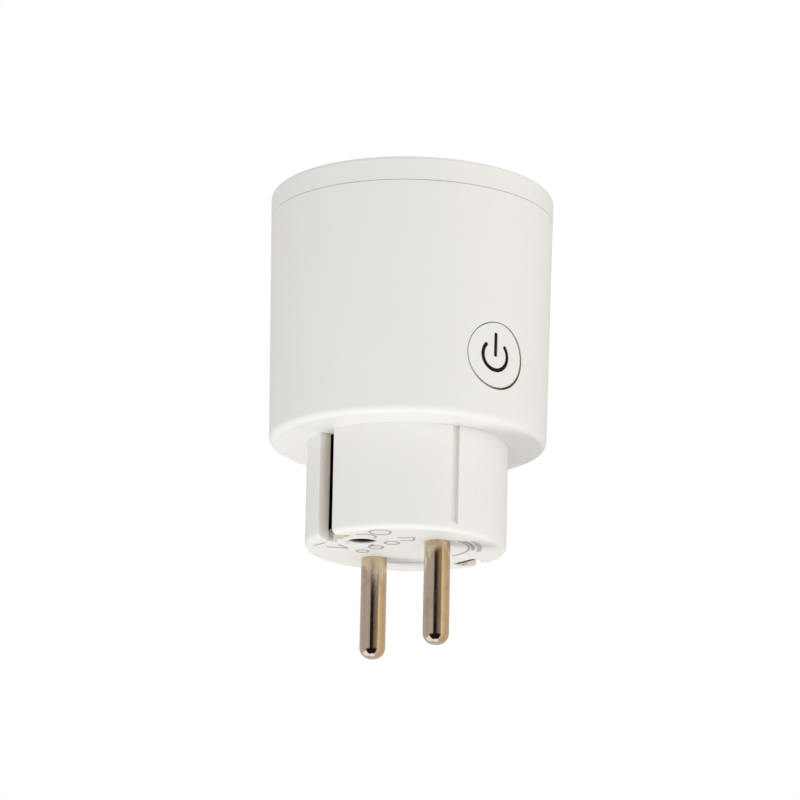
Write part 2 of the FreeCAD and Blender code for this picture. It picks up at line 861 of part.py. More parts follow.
def icon_solids(stroke, reach):
    """The standby symbol as bars along X: an open ring and an upright stroke."""
    half = stroke / 2
    ring = rod_x(icon_radius + half, 0, reach, z=button_height)
    ring = ring.cut(rod_x(icon_radius - half, -OVER, reach + OVER, z=button_height))
    far = icon_radius * 3
    spread = math.radians(icon_opening)
    wedge = Part.Face(
        Part.makePolygon(
            [
                V(-OVER, 0, button_height),
                V(-OVER, far * math.sin(spread), button_height + far * math.cos(spread)),
                V(-OVER, 0, button_height + far * 2),
                V(-OVER, -far * math.sin(spread), button_height + far * math.cos(spread)),
                V(-OVER, 0, button_height),
            ]
        )
    ).extrude(V(reach + 2 * OVER, 0, 0))
    ring = ring.cut(wedge)
    ends = []
    for side in (-1, 1):
        y = side * icon_radius * math.sin(spread)
        z = button_height + icon_radius * math.cos(spread)
        ends.append(rod_x(half, 0, reach, y, z))
    low = button_height + icon_bar_low + half
    high = button_height + icon_bar_high - half
    bar = fused(
        [
            block(0, reach, -half, half, low, high),
            rod_x(half, 0, reach, 0, low),
            rod_x(half, 0, reach, 0, high),
        ]
    )
    return [moved(fused([ring, *ends]), y=icon_shift), moved(bar, y=icon_shift)]


def button_zone(inset):
    margin = button_radius + button_flange + 2 * OVER
    return drafted_solid(inset, button_height - margin, button_height + margin)


def flange_insets():
    near = body_wall + button_flange_gap
    return near, near + button_flange_thickness


def make_power_button():
    """The button cap, flush with the body, with a flange behind the wall and the symbol cut through."""
    reach = body_radius + OVER
    near, deep = flange_insets()
    plug = rod_x(button_radius, body_radius / 2, reach, button_shift, button_height - button_shift)
    cap = plug.common(button_zone(0)).cut(button_zone(deep))
    wide = rod_x(button_radius + button_flange, body_radius / 2, reach, z=button_height)
    flange = wide.common(button_zone(near)).cut(button_zone(deep))
    button = cap.fuse(flange)
    for bar in icon_solids(icon_stroke, reach):
        button = button.cut(bar)
    return button.removeSplitter()


def guide_back():
    """X of the flat back of the light guide's disc."""
    deep = flange_insets()[1]
    sag = outer_radius(button_height) - deep
    edge = math.sqrt(sag**2 - guide_disc_radius**2)
    return edge - guide_disc_thickness


def make_light_guide():
    """Smoked clear plastic: it fills the symbol, spreads over the button's back and pushes the switch."""
    reach = body_radius + OVER
    deep = flange_insets()[1]
    slim = icon_stroke - 2 * running_gap
    bars = [bar.common(button_zone(icon_depth)) for bar in icon_solids(slim, reach)]
    back = guide_back()
    disc = rod_x(guide_disc_radius, back, reach, z=button_height).common(button_zone(deep + running_gap))
    bars = [bar.cut(rod_x(guide_disc_radius, 0, back + 0.3, z=button_height)) for bar in bars]
    stem = rod_x(guide_stem_radius, plunger_tip() + running_gap, back + 0.2, z=button_height)
    return fused([disc, stem, *bars])


def plunger_tip():
    return guide_back() - guide_stem_length


def switch_face():
    return plunger_tip() - switch_plunger_out


def make_switch_body():
    """The side-push switch: a moulded block with a steel face plate, standing on two legs."""
    face = switch_face()
    half = switch_size / 2
    low = button_height - half
    high = button_height + half
    block_part = block(face - switch_depth, face, -half, half, low, high)
    hole = rod_x(switch_plunger_radius + running_gap, face - switch_plunger_in, face + OVER, z=button_height)
    legs = []
    for side in (-1, 1):
        y_pair = sorted((side * half, side * (half - switch_leg)))
        legs.append(block(face - 2.2, face - 1.0, *y_pair, board_top, low + 0.1))
    return fused([block_part, *legs]).cut(hole)


def make_switch_plunger():
    face = switch_face()
    inner = face - switch_plunger_in + button_travel + running_gap
    plunger = rod_x(switch_plunger_radius, inner, plunger_tip(), z=button_height)
    rim = [edge for edge in plunger.Edges if edge.BoundBox.XMin > plunger_tip() - 1e-6]
    return plunger.makeFillet(0.3, rim[:1])


def make_status_leds():
    """Two small lamps beside the switch that light the symbol."""
    long_x, long_y, high = led_size
    x = switch_face() - 1.0
    lamps = []
    for side in (-1, 1):
        y = side * (switch_size / 2 + 0.6 + long_y / 2)
        x_pair = (x - long_x / 2, x + long_x / 2)
        y_pair = (y - long_y / 2, y + long_y / 2)
        lamps.append(block(*x_pair, *y_pair, board_top, board_top + high))
    return Part.makeCompound(lamps)


# ---- relay ----------------------------------------------------------------------------------------------
def in_relay(shape):
    """Carries a shape from the relay's own frame, base centre at the origin, to its place on the board."""
    return moved(shape, y=relay_near_edge + relay_width / 2, z=board_top)


def relay_hinge():
    """The armature's hinge in the relay's own frame."""
    leg_outer = relay_length / 2 - relay_case_wall - 0.3
    return leg_outer - relay_iron / 2, relay_pole_height + 0.15


def make_relay_case():
    half_x = relay_length / 2
    half_y = relay_width / 2
    wall = relay_case_wall
    outer = block(-half_x, half_x, -half_y, half_y, component_gap, relay_height)
    corners = [e for e in outer.Edges if abs(e.BoundBox.ZLength - (relay_height - component_gap)) < 1e-6]
    outer = outer.makeFillet(0.6, corners)
    inner = block(
        -half_x + wall, half_x - wall, -half_y + wall, half_y - wall, 0, relay_height - wall
    )
    return in_relay(outer.cut(inner))


def make_relay_base():
    half_x = relay_length / 2 - relay_case_wall - running_gap
    half_y = relay_width / 2 - relay_case_wall - running_gap
    base = block(-half_x, half_x, -half_y, half_y, component_gap, relay_base_thickness)
    pins = []
    for x, y in ((half_x - 1.5, 2.6), (half_x - 1.5, -2.6), (-half_x + 2.0, 0), (-half_x + 5.4, 0)):
        pins.append(rod(0.45, -board_thickness - 1.0, component_gap + 0.2, x, y))
    return in_relay(fused([base, *pins]))


def make_relay_yoke():
    """Core and L-shaped yoke of soft iron."""
    leg_outer = relay_length / 2 - relay_case_wall - 0.3
    low = relay_base_thickness + component_gap
    wide = relay_iron_width / 2
    core_x = relay_coil_offset
    foot = block(core_x - relay_core_radius, leg_outer, -wide, wide, low, low + relay_iron)
    leg = block(leg_outer - relay_iron, leg_outer, -wide, wide, low, relay_pole_height)
    core = rod(relay_core_radius, low, relay_pole_height, core_x)
    return in_relay(fused([foot, leg, core]))


def make_relay_coil():
    """Bobbin and winding in one piece round the core."""
    low = relay_base_thickness + component_gap + relay_iron + running_gap
    high = relay_pole_height - 0.5
    x = relay_coil_offset
    flange = 0.6
    radius = relay_coil_radius
    spool = fused(
        [
            rod(radius, low, low + flange, x),
            rod(radius, high - flange, high, x),
            rod(radius - 0.3, low + flange, high - flange, x),
        ]
    )
    return in_relay(spool.cut(rod(relay_core_radius + running_gap, low - OVER, high + OVER, x)))


def make_relay_armature():
    """The armature in its released position, with the spring blade and moving contact it carries."""
    hinge_x, hinge_z = relay_hinge()
    wide = relay_iron_width / 2
    free_x = relay_coil_offset - relay_core_radius - 0.8
    plate = block(free_x, hinge_x + relay_iron / 2, -wide, wide, hinge_z, hinge_z + relay_iron)
    half = relay_blade_width / 2
    blade_x = -relay_length / 2 + relay_case_wall + 2.6
    top = hinge_z + relay_iron
    blade = strip_section(
        [
            (hinge_x - 1.0, top + relay_blade / 2),
            (blade_x, top + relay_blade / 2),
            (blade_x, relay_base_thickness + 2.0),
        ],
        relay_blade,
    )
    blade = pulled_y(blade, -half, half)
    stud = rod_x(relay_contact_radius, blade_x, blade_x + 0.7, z=relay_base_thickness + 3.6)
    armature = fused([plate, blade, stud])
    armature.rotate(V(hinge_x, 0, hinge_z), AXIS_Y, relay_release_angle)
    return in_relay(armature)


def make_relay_contact():
    """The fixed contact: a blade standing on the base with a silver stud."""
    blade_x = -relay_length / 2 + relay_case_wall + 2.6
    face_x = blade_x + 0.7 + relay_contact_gap
    half = relay_blade_width / 2
    low = relay_base_thickness + component_gap
    post = block(face_x + 0.6, face_x + 1.1, -half, half, low, low + 5.2)
    stud = rod_x(relay_contact_radius, face_x, face_x + 0.8, z=relay_base_thickness + 3.6)
    return in_relay(fused([post, stud]))


# ---- board and other electronics --------------------------------------------------------------------------
def button_relief_x():
    """X of the board's flat edge, which leaves room for the pressed button's flange and light guide."""
    inner = outer_radius(button_height) - flange_insets()[1]
    edge = math.sqrt(inner**2 - (button_radius + button_flange) ** 2)
    return min(edge, guide_back()) - button_travel - button_board_gap


def make_main_board():
    """The round board, notched for the earth uprights and holed for screws, tails and relay pins."""
    radius = board_radius()
    board = rod(radius, board_under, board_top)
    half = earth_bridge_width / 2 + 0.4
    cuts = []
    for side in (-1, 1):
        y_pair = sorted((side * (upright_inner - 0.4), side * (radius + OVER)))
        cuts.append(block(-half, half, *y_pair, board_under - OVER, board_top + OVER))
        wide = contact_tail_width / 2 + 0.15
        x_mid = side * tail_x
        thick = contact_tail_thickness / 2 + 0.15
        cuts.append(block(x_mid - thick, x_mid + thick, -wide, wide, board_under - OVER, board_top + OVER))
    for x, y in board_boss_places():
        cuts.append(rod(screw_shaft_radius + 0.2, board_under - OVER, board_top + OVER, x, y))
    flat = button_relief_x()
    cuts.append(block(flat, radius + OVER, -radius, radius, board_under - OVER, board_top + OVER))
    half_x = relay_length / 2 - relay_case_wall - running_gap
    mid_y = relay_near_edge + relay_width / 2
    for x, y in ((half_x - 1.5, 2.6), (half_x - 1.5, -2.6), (-half_x + 2.0, 0), (-half_x + 5.4, 0)):
        cuts.append(rod(0.6, board_under - OVER, board_top + OVER, x, mid_y + y))
    for part in cuts:
        board = board.cut(part)
    return board


def make_radio_board():
    """The upright radio board with its stepped aerial end."""
    y = -radio_near_edge
    half = radio_width / 2
    low = board_top + component_gap
    plate = block(-half, half, y - radio_board, y, low, low + radio_height)
    aerial = []
    for i in range(4):
        x0 = -half + 1.2 + i * 3.4
        aerial.append(block(x0, x0 + 2.0, y, y + 0.15, low + radio_height - 1.6, low + radio_height - 1.2))
    return Part.makeCompound([fused([plate, *aerial])])


def make_radio_can():
    y = -radio_near_edge - radio_board
    half = radio_can / 2
    low = board_top + component_gap + 1.0
    can = block(-half, half, y - radio_can_depth, y - running_gap, low, low + radio_can - 2.6)
    edges = [e for e in can.Edges if abs(e.BoundBox.YLength - (radio_can_depth - running_gap)) < 1e-6]
    return can.makeFillet(0.8, edges)


def upright_capacitor(radius, height, x, y):
    """A can with a crimped neck near its foot and a scored top."""
    low = board_top + component_gap
    outline = [
        (0, low),
        (radius - 0.2, low),
        (radius, low + 0.3),
        (radius, low + 1.2),
        (radius - 0.35, low + 1.6),
        (radius, low + 2.0),
        (radius, low + height),
        (radius - 0.7, low + height),
        (radius - 0.7, low + height - 0.2),
        (0, low + height - 0.2),
    ]
    can = revolved(outline, {6: 0.3})
    top = low + height
    score = radius - 1.2
    can = can.cut(block(-score, score, -0.15, 0.15, top - 0.4, top))
    can = can.cut(block(-0.15, 0.15, -score, score, top - 0.4, top))
    return moved(can, x, y)


def make_bulk_capacitor():
    return upright_capacitor(bulk_capacitor_radius, bulk_capacitor_height, -5.4, -15.2)


def make_small_capacitor():
    return upright_capacitor(small_capacitor_radius, small_capacitor_height, 3.6, -15.6)


def make_film_capacitor():
    """The box capacitor across the mains, beyond the far contact."""
    deep, wide, high = film_capacitor
    outer = tail_x + contact_tail_thickness / 2 + 1.2
    low = board_top + component_gap
    box = block(-outer - 0.4 - deep, -outer - 0.4, -wide / 2, wide / 2, low, low + high)
    return box.makeFillet(0.5, box.Edges)


def make_choke():
    """A drum choke on the board's middle."""
    low = board_top + component_gap
    high = low + choke_height
    return fused(
        [
            rod(choke_radius, low, low + 0.9),
            rod(choke_radius, high - 0.9, high),
            rod(choke_radius - 0.5, low + 0.9, high - 0.9),
        ]
    )


def make_varistor():
    """The surge disc hanging under the board on two leads."""
    x0 = earth_bridge_width / 2 + 0.5
    y = -2.2
    z = board_under - 2.4 - varistor_radius
    disc = rod_x(varistor_radius, x0, x0 + varistor_thickness, y, z)
    disc = disc.makeFillet(0.9, [e for e in disc.Edges if isinstance(e.Curve, Part.Circle)])
    leads = []
    for side in (-1, 1):
        leads.append(rod(lead_radius, z, board_under, x0 + varistor_thickness / 2, y + side * 2.5))
    return fused([disc, *leads])


def make_fuse():
    """The fusible resistor lying under the board on bent leads."""
    x = -earth_bridge_width / 2 - fuse_radius - 1.4
    y = -1.5
    z = board_under - fuse_radius - 0.8
    half = fuse_length / 2
    body = rod_y(fuse_radius, y - half, y + half, x, z)
    body = body.makeFillet(0.7, [e for e in body.Edges if isinstance(e.Curve, Part.Circle)])
    parts = [body]
    for side in (-1, 1):
        far = y + side * (half + 1.6)
        route = [(x, y + side * half * 0.9, z), (x, far, z), (x, far, board_under)]
        parts.append(tube_along(route, lead_radius))
    return fused(parts)


def make_chips():
    """The power, metering and regulator chips and the small parts round them, on the board's top."""
    solids = []
    chip_places = ((-13.6, -9.6, 3.9, 4.9, 1.5), (13.0, -9.4, 3.9, 4.9, 1.5), (11.4, 8.2, 2.0, 3.4, 1.2))
    for x, y, wide, long, high in chip_places:
        low = board_top + 0.15
        solids.append(block(x - wide / 2, x + wide / 2, y - long / 2, y + long / 2, low, low + high))
        for i in range(4):
            step = y - long / 2 + long * (i + 0.5) / 4
            for side in (-1, 1):
                x_pair = sorted((x + side * wide / 2, x + side * (wide / 2 + 0.9)))
                solids.append(block(*x_pair, step - 0.2, step + 0.2, board_top, board_top + 0.3))
    for i in range(6):
        angle = math.radians(-118 + i * 11)
        x = 21.3 * math.cos(angle)
        y = 21.3 * math.sin(angle)
        if abs(x) > earth_bridge_width / 2 + 1.6:
            solids.append(block(x - 0.8, x + 0.8, y - 0.4, y + 0.4, board_top, board_top + 0.55))
    return Part.makeCompound(solids)


def make_shunt():
    """The current-sensing strip: a low arch of resistance metal with its feet on the board."""
    rise = board_top + 2.4
    arch = strip_section([(-17.6, board_top), (-17.6, rise), (-12.6, rise), (-12.6, board_top)], 0.6)
    return pulled_x(arch, 8.2, 10.2)


NODES = {
    "housing": make_housing,
    "socket_cover": make_socket_cover,
    "line_pin": lambda: make_pin(1),
    "neutral_pin": lambda: make_pin(-1),
    "line_pin_tab": lambda: make_pin_tab(1),
    "neutral_pin_tab": lambda: make_pin_tab(-1),
    "line_wire": lambda: make_pin_wire(1),
    "neutral_wire": lambda: make_pin_wire(-1),
    "earth_frame": make_earth_frame,
    "earth_sleeve": make_earth_sleeve,
    "front_earth_clip": lambda: make_earth_clip(-1),
    "rear_earth_clip": lambda: make_earth_clip(1),
    "shutter": make_shutter,
    "shutter_spring": make_shutter_spring,
    "contact_carrier": make_contact_carrier,
    "carrier_screws": make_carrier_screws,
    "line_contact": lambda: make_contact(1),
    "neutral_contact": lambda: make_contact(-1),
    "main_board": make_main_board,
    "board_screws": make_board_screws,
    "power_button": make_power_button,
    "light_guide": make_light_guide,
    "switch_body": make_switch_body,
    "switch_plunger": make_switch_plunger,
    "status_leds": make_status_leds,
    "relay_case": make_relay_case,
    "relay_base": make_relay_base,
    "relay_yoke": make_relay_yoke,
    "relay_coil": make_relay_coil,
    "relay_armature": make_relay_armature,
    "relay_contact": make_relay_contact,
    "radio_board": make_radio_board,
    "radio_can": make_radio_can,
    "bulk_capacitor": make_bulk_capacitor,
    "small_capacitor": make_small_capacitor,
    "film_capacitor": make_film_capacitor,
    "choke": make_choke,
    "varistor": make_varistor,
    "fuse_resistor": make_fuse,
    "board_chips": make_chips,
    "shunt": make_shunt,
}


def main():
    os.makedirs("parts", exist_ok=True)
    for node, make in NODES.items():
        shape = make()
        shape.exportStep(f"parts/{node}.step")
        print(f"{node:18s} solids {len(shape.Solids)} valid {shape.isValid()} volume {shape.Volume:9.1f} mm3")


main()
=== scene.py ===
"""Looks of the round smart plug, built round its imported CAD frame. Metres; +Z points from plug to outlet,
+X through the power button, and the hole for an outlet's earth pin lies on the -Y side of the face."""

import json
import math

import bpy
import numpy as np
from mathutils import Matrix, Vector


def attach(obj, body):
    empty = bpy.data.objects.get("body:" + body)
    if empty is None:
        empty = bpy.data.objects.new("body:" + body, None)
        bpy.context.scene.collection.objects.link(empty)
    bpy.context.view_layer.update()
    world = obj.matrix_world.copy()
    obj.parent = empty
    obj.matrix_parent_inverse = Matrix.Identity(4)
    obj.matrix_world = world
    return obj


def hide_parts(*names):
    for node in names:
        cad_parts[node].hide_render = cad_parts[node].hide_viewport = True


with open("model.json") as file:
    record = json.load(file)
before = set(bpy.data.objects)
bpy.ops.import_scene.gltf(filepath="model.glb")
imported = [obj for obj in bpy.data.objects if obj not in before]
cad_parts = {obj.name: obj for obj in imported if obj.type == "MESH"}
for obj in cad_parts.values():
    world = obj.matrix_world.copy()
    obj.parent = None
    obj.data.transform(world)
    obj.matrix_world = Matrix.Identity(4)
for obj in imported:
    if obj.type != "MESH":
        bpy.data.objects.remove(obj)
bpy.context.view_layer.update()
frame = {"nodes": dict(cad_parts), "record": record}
scene = bpy.context.scene
MM = 0.001

# ---- camera -------------------------------------------------------------------------------------------
CAMERA_TURN = math.radians(52.55)
CAMERA_RISE = math.radians(-15.12)
CAMERA_ROLL = math.radians(1.19)
CAMERA_DISTANCE = 0.652
CAMERA_LENS = 157.14
AIM_SIDE = -0.00159
AIM_HEIGHT = 0.02878
SENSOR_WIDTH = 36
NEAREST_SEEN = 0.01


def make_camera():
    """A camera on a sphere round the plug, turned and raised, then rolled about its own axis."""
    back = Vector((
        math.sin(CAMERA_TURN) * math.cos(CAMERA_RISE),
        -math.cos(CAMERA_TURN) * math.cos(CAMERA_RISE),
        math.sin(CAMERA_RISE),
    ))
    right = Vector((math.cos(CAMERA_TURN), math.sin(CAMERA_TURN), 0))
    up = back.cross(right)
    turn = Matrix((right, up, back)).transposed().to_4x4()
    data = bpy.data.cameras.new("camera")
    data.lens = CAMERA_LENS
    data.sensor_width = SENSOR_WIDTH
    data.clip_start = NEAREST_SEEN
    camera = bpy.data.objects.new("camera", data)
    aim = Vector((0, 0, AIM_HEIGHT)) + right * AIM_SIDE
    place = Matrix.Translation(aim + back * CAMERA_DISTANCE)
    camera.matrix_world = place @ turn @ Matrix.Rotation(CAMERA_ROLL, 4, "Z")
    scene.collection.objects.link(camera)
    scene.camera = camera


# ---- node tools ---------------------------------------------------------------------------------------
def new_node(tree, kind, inputs=None, **settings):
    """A node with its settings and input values; an input that is a socket is linked."""
    node = tree.nodes.new(kind)
    for name, value in settings.items():
        setattr(node, name, value)
    for name, value in (inputs or {}).items():
        if isinstance(value, bpy.types.NodeSocket):
            tree.links.new(value, node.inputs[name])
        else:
            node.inputs[name].default_value = value
    return node


def maths(tree, operation, a, b=0.0, clamp=False):
    """One sum of two sockets or numbers, held between 0 and 1 if clamp is set."""
    node = new_node(tree, "ShaderNodeMath", {0: a, 1: b}, operation=operation)
    node.use_clamp = clamp
    return node.outputs[0]


def ramp(tree, value, stops):
    """A straight colour ramp; stops are (place, grey or colour)."""
    node = new_node(tree, "ShaderNodeValToRGB", {"Fac": value})
    node.color_ramp.interpolation = "LINEAR"
    points = node.color_ramp.elements
    while len(points) < len(stops):
        points.new(0.5)
    for point, (place, shade) in zip(points, stops):
        point.position = place
        point.color = (*shade, 1) if isinstance(shade, tuple) else (shade, shade, shade, 1)
    return node.outputs["Color"]


# the sockets that a Mix node uses when it mixes colours
MIX_SHARE = 0
MIX_A = 6
MIX_B = 7
MIX_RESULT = 2


def mix_colours(tree, share, a, b, blend="MIX"):
    """Colour a mixed or multiplied with colour b by a share; each may be a socket or a plain value."""
    node = new_node(tree, "ShaderNodeMix", data_type="RGBA", blend_type=blend)
    for index, value in ((MIX_SHARE, share), (MIX_A, a), (MIX_B, b)):
        if isinstance(value, bpy.types.NodeSocket):
            tree.links.new(value, node.inputs[index])
        else:
            node.inputs[index].default_value = value if index == MIX_SHARE else (*value[:3], 1)
    return node.outputs[MIX_RESULT]


def new_group(name, inputs, outputs):
    """An empty shader group; inputs are (name, kind, value) and outputs are (name, kind)."""
    group = bpy.data.node_groups.new(name, "ShaderNodeTree")
    for label, kind, value in inputs:
        socket = group.interface.new_socket(label, in_out="INPUT", socket_type=kind)
        socket.default_value = value
    for label, kind in outputs:
        group.interface.new_socket(label, in_out="OUTPUT", socket_type=kind)
    source = group.nodes.new("NodeGroupInput")
    sink = group.nodes.new("NodeGroupOutput")
    return group, source, sink


FLOAT = "NodeSocketFloat"
COLOUR = "NodeSocketColor"


# ---- shared surface effects -----------------------------------------------------------------------------
CLOUD_START = 0.35
CLOUD_SHARE = 0.35
GRAIN_ROUGHNESS = 0.16
CLOUD_ROUGHNESS = 0.12
PIT_SHARE = 0.5


def moulded_grain_group():
    """Moulded plastic: cloudy tint, fine spark-eroded grain as a height, and a roughness to suit."""
    group, source, sink = new_group(
        "moulded_grain",
        [
            ("Colour", COLOUR, (0.8, 0.8, 0.8, 1)),
            ("Tint", COLOUR, (0.7, 0.7, 0.6, 1)),
            ("Grain", FLOAT, 9000.0),
            ("Cloud", FLOAT, 60.0),
            ("Roughness", FLOAT, 0.45),
        ],
        [("Colour", COLOUR), ("Roughness", FLOAT), ("Height", FLOAT)],
    )
    place = new_node(group, "ShaderNodeTexCoord").outputs["Object"]
    fine, broad = source.outputs["Grain"], source.outputs["Cloud"]
    grain = new_node(group, "ShaderNodeTexNoise", {"Vector": place, "Scale": fine, "Detail": 2.0})
    cells = new_node(group, "ShaderNodeTexVoronoi", {"Vector": place, "Scale": fine})
    cloud = new_node(group, "ShaderNodeTexNoise", {"Vector": place, "Scale": broad, "Detail": 3.0})
    cloudy = maths(group, "SUBTRACT", cloud.outputs["Fac"], CLOUD_START, True)
    cloudy = maths(group, "MULTIPLY", cloudy, CLOUD_SHARE)
    tinted = mix_colours(group, cloudy, source.outputs["Colour"], source.outputs["Tint"])
    swing = maths(group, "MULTIPLY", maths(group, "SUBTRACT", grain.outputs["Fac"], 0.5), GRAIN_ROUGHNESS)
    rough = maths(group, "ADD", source.outputs["Roughness"], swing)
    drift = maths(group, "MULTIPLY", maths(group, "SUBTRACT", cloud.outputs["Fac"], 0.5), CLOUD_ROUGHNESS)
    pits = maths(group, "MULTIPLY", cells.outputs["Distance"], PIT_SHARE)
    height = maths(group, "ADD", grain.outputs["Fac"], pits)
    group.links.new(tinted, sink.inputs["Colour"])
    group.links.new(maths(group, "ADD", rough, drift), sink.inputs["Roughness"])
    group.links.new(height, sink.inputs["Height"])
    return group


LINE_STRETCH = (0.06, 0.06, 1.0)
SCUFF_STRETCH = (1.0, 1.0, 0.12)
STAIN_SCALE = 260.0
STAIN_EDGES = [(0.50, 0.0), (0.72, 1.0)]
STAIN_SHARE = 0.45
STAIN_ROUGHNESS = 0.05
SCUFF_SCALE = 2600.0
SCUFF_EDGES = [(0.62, 0.0), (0.70, 1.0)]
SCUFF_ROUGHNESS = 0.10
SCUFF_HEIGHT = 0.6
LINE_ROUGHNESS = 0.10


def metal_wear_group():
    """Plated metal: drawing lines round Z, faint stains and small scuffs."""
    group, source, sink = new_group(
        "metal_wear",
        [
            ("Colour", COLOUR, (0.7, 0.7, 0.7, 1)),
            ("Stain", COLOUR, (0.5, 0.4, 0.3, 1)),
            ("Lines", FLOAT, 4000.0),
            ("Roughness", FLOAT, 0.2),
        ],
        [("Colour", COLOUR), ("Roughness", FLOAT), ("Height", FLOAT)],
    )
    place = new_node(group, "ShaderNodeTexCoord").outputs["Object"]
    stretch = new_node(group, "ShaderNodeMapping", {"Vector": place, "Scale": LINE_STRETCH})
    line_look = {"Vector": stretch.outputs["Vector"], "Scale": source.outputs["Lines"], "Detail": 2.0}
    lines = new_node(group, "ShaderNodeTexNoise", line_look)
    stain_look = {"Vector": place, "Scale": STAIN_SCALE, "Detail": 5.0, "Roughness": 0.6}
    stain = new_node(group, "ShaderNodeTexNoise", stain_look)
    patch = ramp(group, stain.outputs["Fac"], STAIN_EDGES)
    squeeze = new_node(group, "ShaderNodeMapping", {"Vector": place, "Scale": SCUFF_STRETCH})
    scuff_look = {"Vector": squeeze.outputs["Vector"], "Scale": SCUFF_SCALE, "Detail": 1.0}
    scuff = new_node(group, "ShaderNodeTexNoise", scuff_look)
    scuffed = ramp(group, scuff.outputs["Fac"], SCUFF_EDGES)
    stain_share = maths(group, "MULTIPLY", patch, STAIN_SHARE)
    stained = mix_colours(group, stain_share, source.outputs["Colour"], source.outputs["Stain"])
    swing = maths(group, "MULTIPLY", maths(group, "SUBTRACT", lines.outputs["Fac"], 0.5), LINE_ROUGHNESS)
    rough = maths(group, "ADD", source.outputs["Roughness"], swing)
    rough = maths(group, "ADD", rough, maths(group, "MULTIPLY", scuffed, SCUFF_ROUGHNESS))
    rough = maths(group, "ADD", rough, maths(group, "MULTIPLY", patch, STAIN_ROUGHNESS))
    height = maths(group, "SUBTRACT", lines.outputs["Fac"], maths(group, "MULTIPLY", scuffed, SCUFF_HEIGHT))
    group.links.new(stained, sink.inputs["Colour"])
    group.links.new(rough, sink.inputs["Roughness"])
    group.links.new(height, sink.inputs["Height"])
    return group


MOULDED = moulded_grain_group()
PLATED = metal_wear_group()


def start_material(name):
    """A new material with its node tree and its shader."""
    material = bpy.data.materials.new(name)
    material.use_nodes = True
    tree = material.node_tree
    return material, tree, tree.nodes["Principled BSDF"]


BUMP_STRENGTH = 0.5


def use_height(tree, shader, height, depth):
    """Turns a height into a bump of so many metres on a shader."""
    bump = new_node(tree, "ShaderNodeBump", {"Strength": BUMP_STRENGTH, "Distance": depth, "Height": height})
    tree.links.new(bump.outputs["Normal"], shader.inputs["Normal"])


PLASTIC_SHADE = 0.85
METAL_SHADE = 0.6
SOAK_RADIUS = (0.0012, 0.0010, 0.0008)
CLOUD_SCALE = 60.0


def plastic(name, colour, tint=None, roughness=0.45, grain=9000.0, depth=0.00002, skin=0.0, coat=0.0):
    """Moulded plastic of one colour, with a grain so many metres deep; skin is how much light soaks in and
    coat is a clear gloss."""
    material, tree, shader = start_material(name)
    tint = tint or tuple(c * PLASTIC_SHADE for c in colour)
    group = new_node(tree, "ShaderNodeGroup", node_tree=MOULDED)
    values = {"Colour": (*colour, 1), "Tint": (*tint, 1), "Grain": grain, "Cloud": CLOUD_SCALE}
    values["Roughness"] = roughness
    for label, value in values.items():
        group.inputs[label].default_value = value
    tree.links.new(group.outputs["Colour"], shader.inputs["Base Color"])
    tree.links.new(group.outputs["Roughness"], shader.inputs["Roughness"])
    use_height(tree, shader, group.outputs["Height"], depth)
    shader.inputs["Subsurface Weight"].default_value = skin
    shader.inputs["Subsurface Radius"].default_value = SOAK_RADIUS
    shader.inputs["Subsurface Scale"].default_value = 1.0
    shader.inputs["Coat Weight"].default_value = coat
    return material


def metal(name, colour, stain=None, roughness=0.2, lines=4000.0, depth=0.000004):
    """Plated or rolled metal; lines and depth are how fine and how deep its drawing lines are."""
    material, tree, shader = start_material(name)
    stain = stain or tuple(c * METAL_SHADE for c in colour)
    group = new_node(tree, "ShaderNodeGroup", node_tree=PLATED)
    values = {"Colour": (*colour, 1), "Stain": (*stain, 1), "Lines": lines, "Roughness": roughness}
    for label, value in values.items():
        group.inputs[label].default_value = value
    tree.links.new(group.outputs["Colour"], shader.inputs["Base Color"])
    tree.links.new(group.outputs["Roughness"], shader.inputs["Roughness"])
    use_height(tree, shader, group.outputs["Height"], depth)
    shader.inputs["Metallic"].default_value = 1.0
    return material


BOARD_SHADE = 0.8
WEAVE_SCALE = 3000.0
TRACK_SCALE = 420.0
TRACK_WIDTH = 0.10
PAD_SCALE = 380.0
PAD_EDGES = [(0.10, 1.0), (0.13, 0.0)]
PAD_METAL = 0.9
SOLDER = (0.75, 0.74, 0.70)
LACQUER_ROUGHNESS = 0.22
LACQUER_SWING = 0.15
TRACK_DEPTH = 0.00004


def circuit_lacquer(name, colour, trace):
    """Solder lacquer over copper: darker board, lighter tracks on a square pattern, and tinned dots."""
    material, tree, shader = start_material(name)
    place = new_node(tree, "ShaderNodeTexCoord").outputs["Object"]
    track_look = {"Vector": place, "Scale": TRACK_SCALE, "Mortar Size": TRACK_WIDTH}
    tracks = new_node(tree, "ShaderNodeTexBrick", track_look)
    tracks.inputs["Color1"].default_value = (*colour, 1)
    tracks.inputs["Color2"].default_value = (*(c * BOARD_SHADE for c in colour), 1)
    tracks.inputs["Mortar"].default_value = (*trace, 1)
    dots = new_node(tree, "ShaderNodeTexVoronoi", {"Vector": place, "Scale": PAD_SCALE, "Randomness": 0.7})
    pads = ramp(tree, dots.outputs["Distance"], PAD_EDGES)
    colour_out = mix_colours(tree, pads, tracks.outputs["Color"], SOLDER)
    weave = new_node(tree, "ShaderNodeTexNoise", {"Vector": place, "Scale": WEAVE_SCALE})
    tree.links.new(colour_out, shader.inputs["Base Color"])
    tree.links.new(maths(tree, "MULTIPLY", pads, PAD_METAL), shader.inputs["Metallic"])
    rough = maths(tree, "MULTIPLY", weave.outputs["Fac"], LACQUER_SWING)
    tree.links.new(maths(tree, "ADD", rough, LACQUER_ROUGHNESS), shader.inputs["Roughness"])
    use_height(tree, shader, tracks.outputs["Fac"], TRACK_DEPTH)
    return material


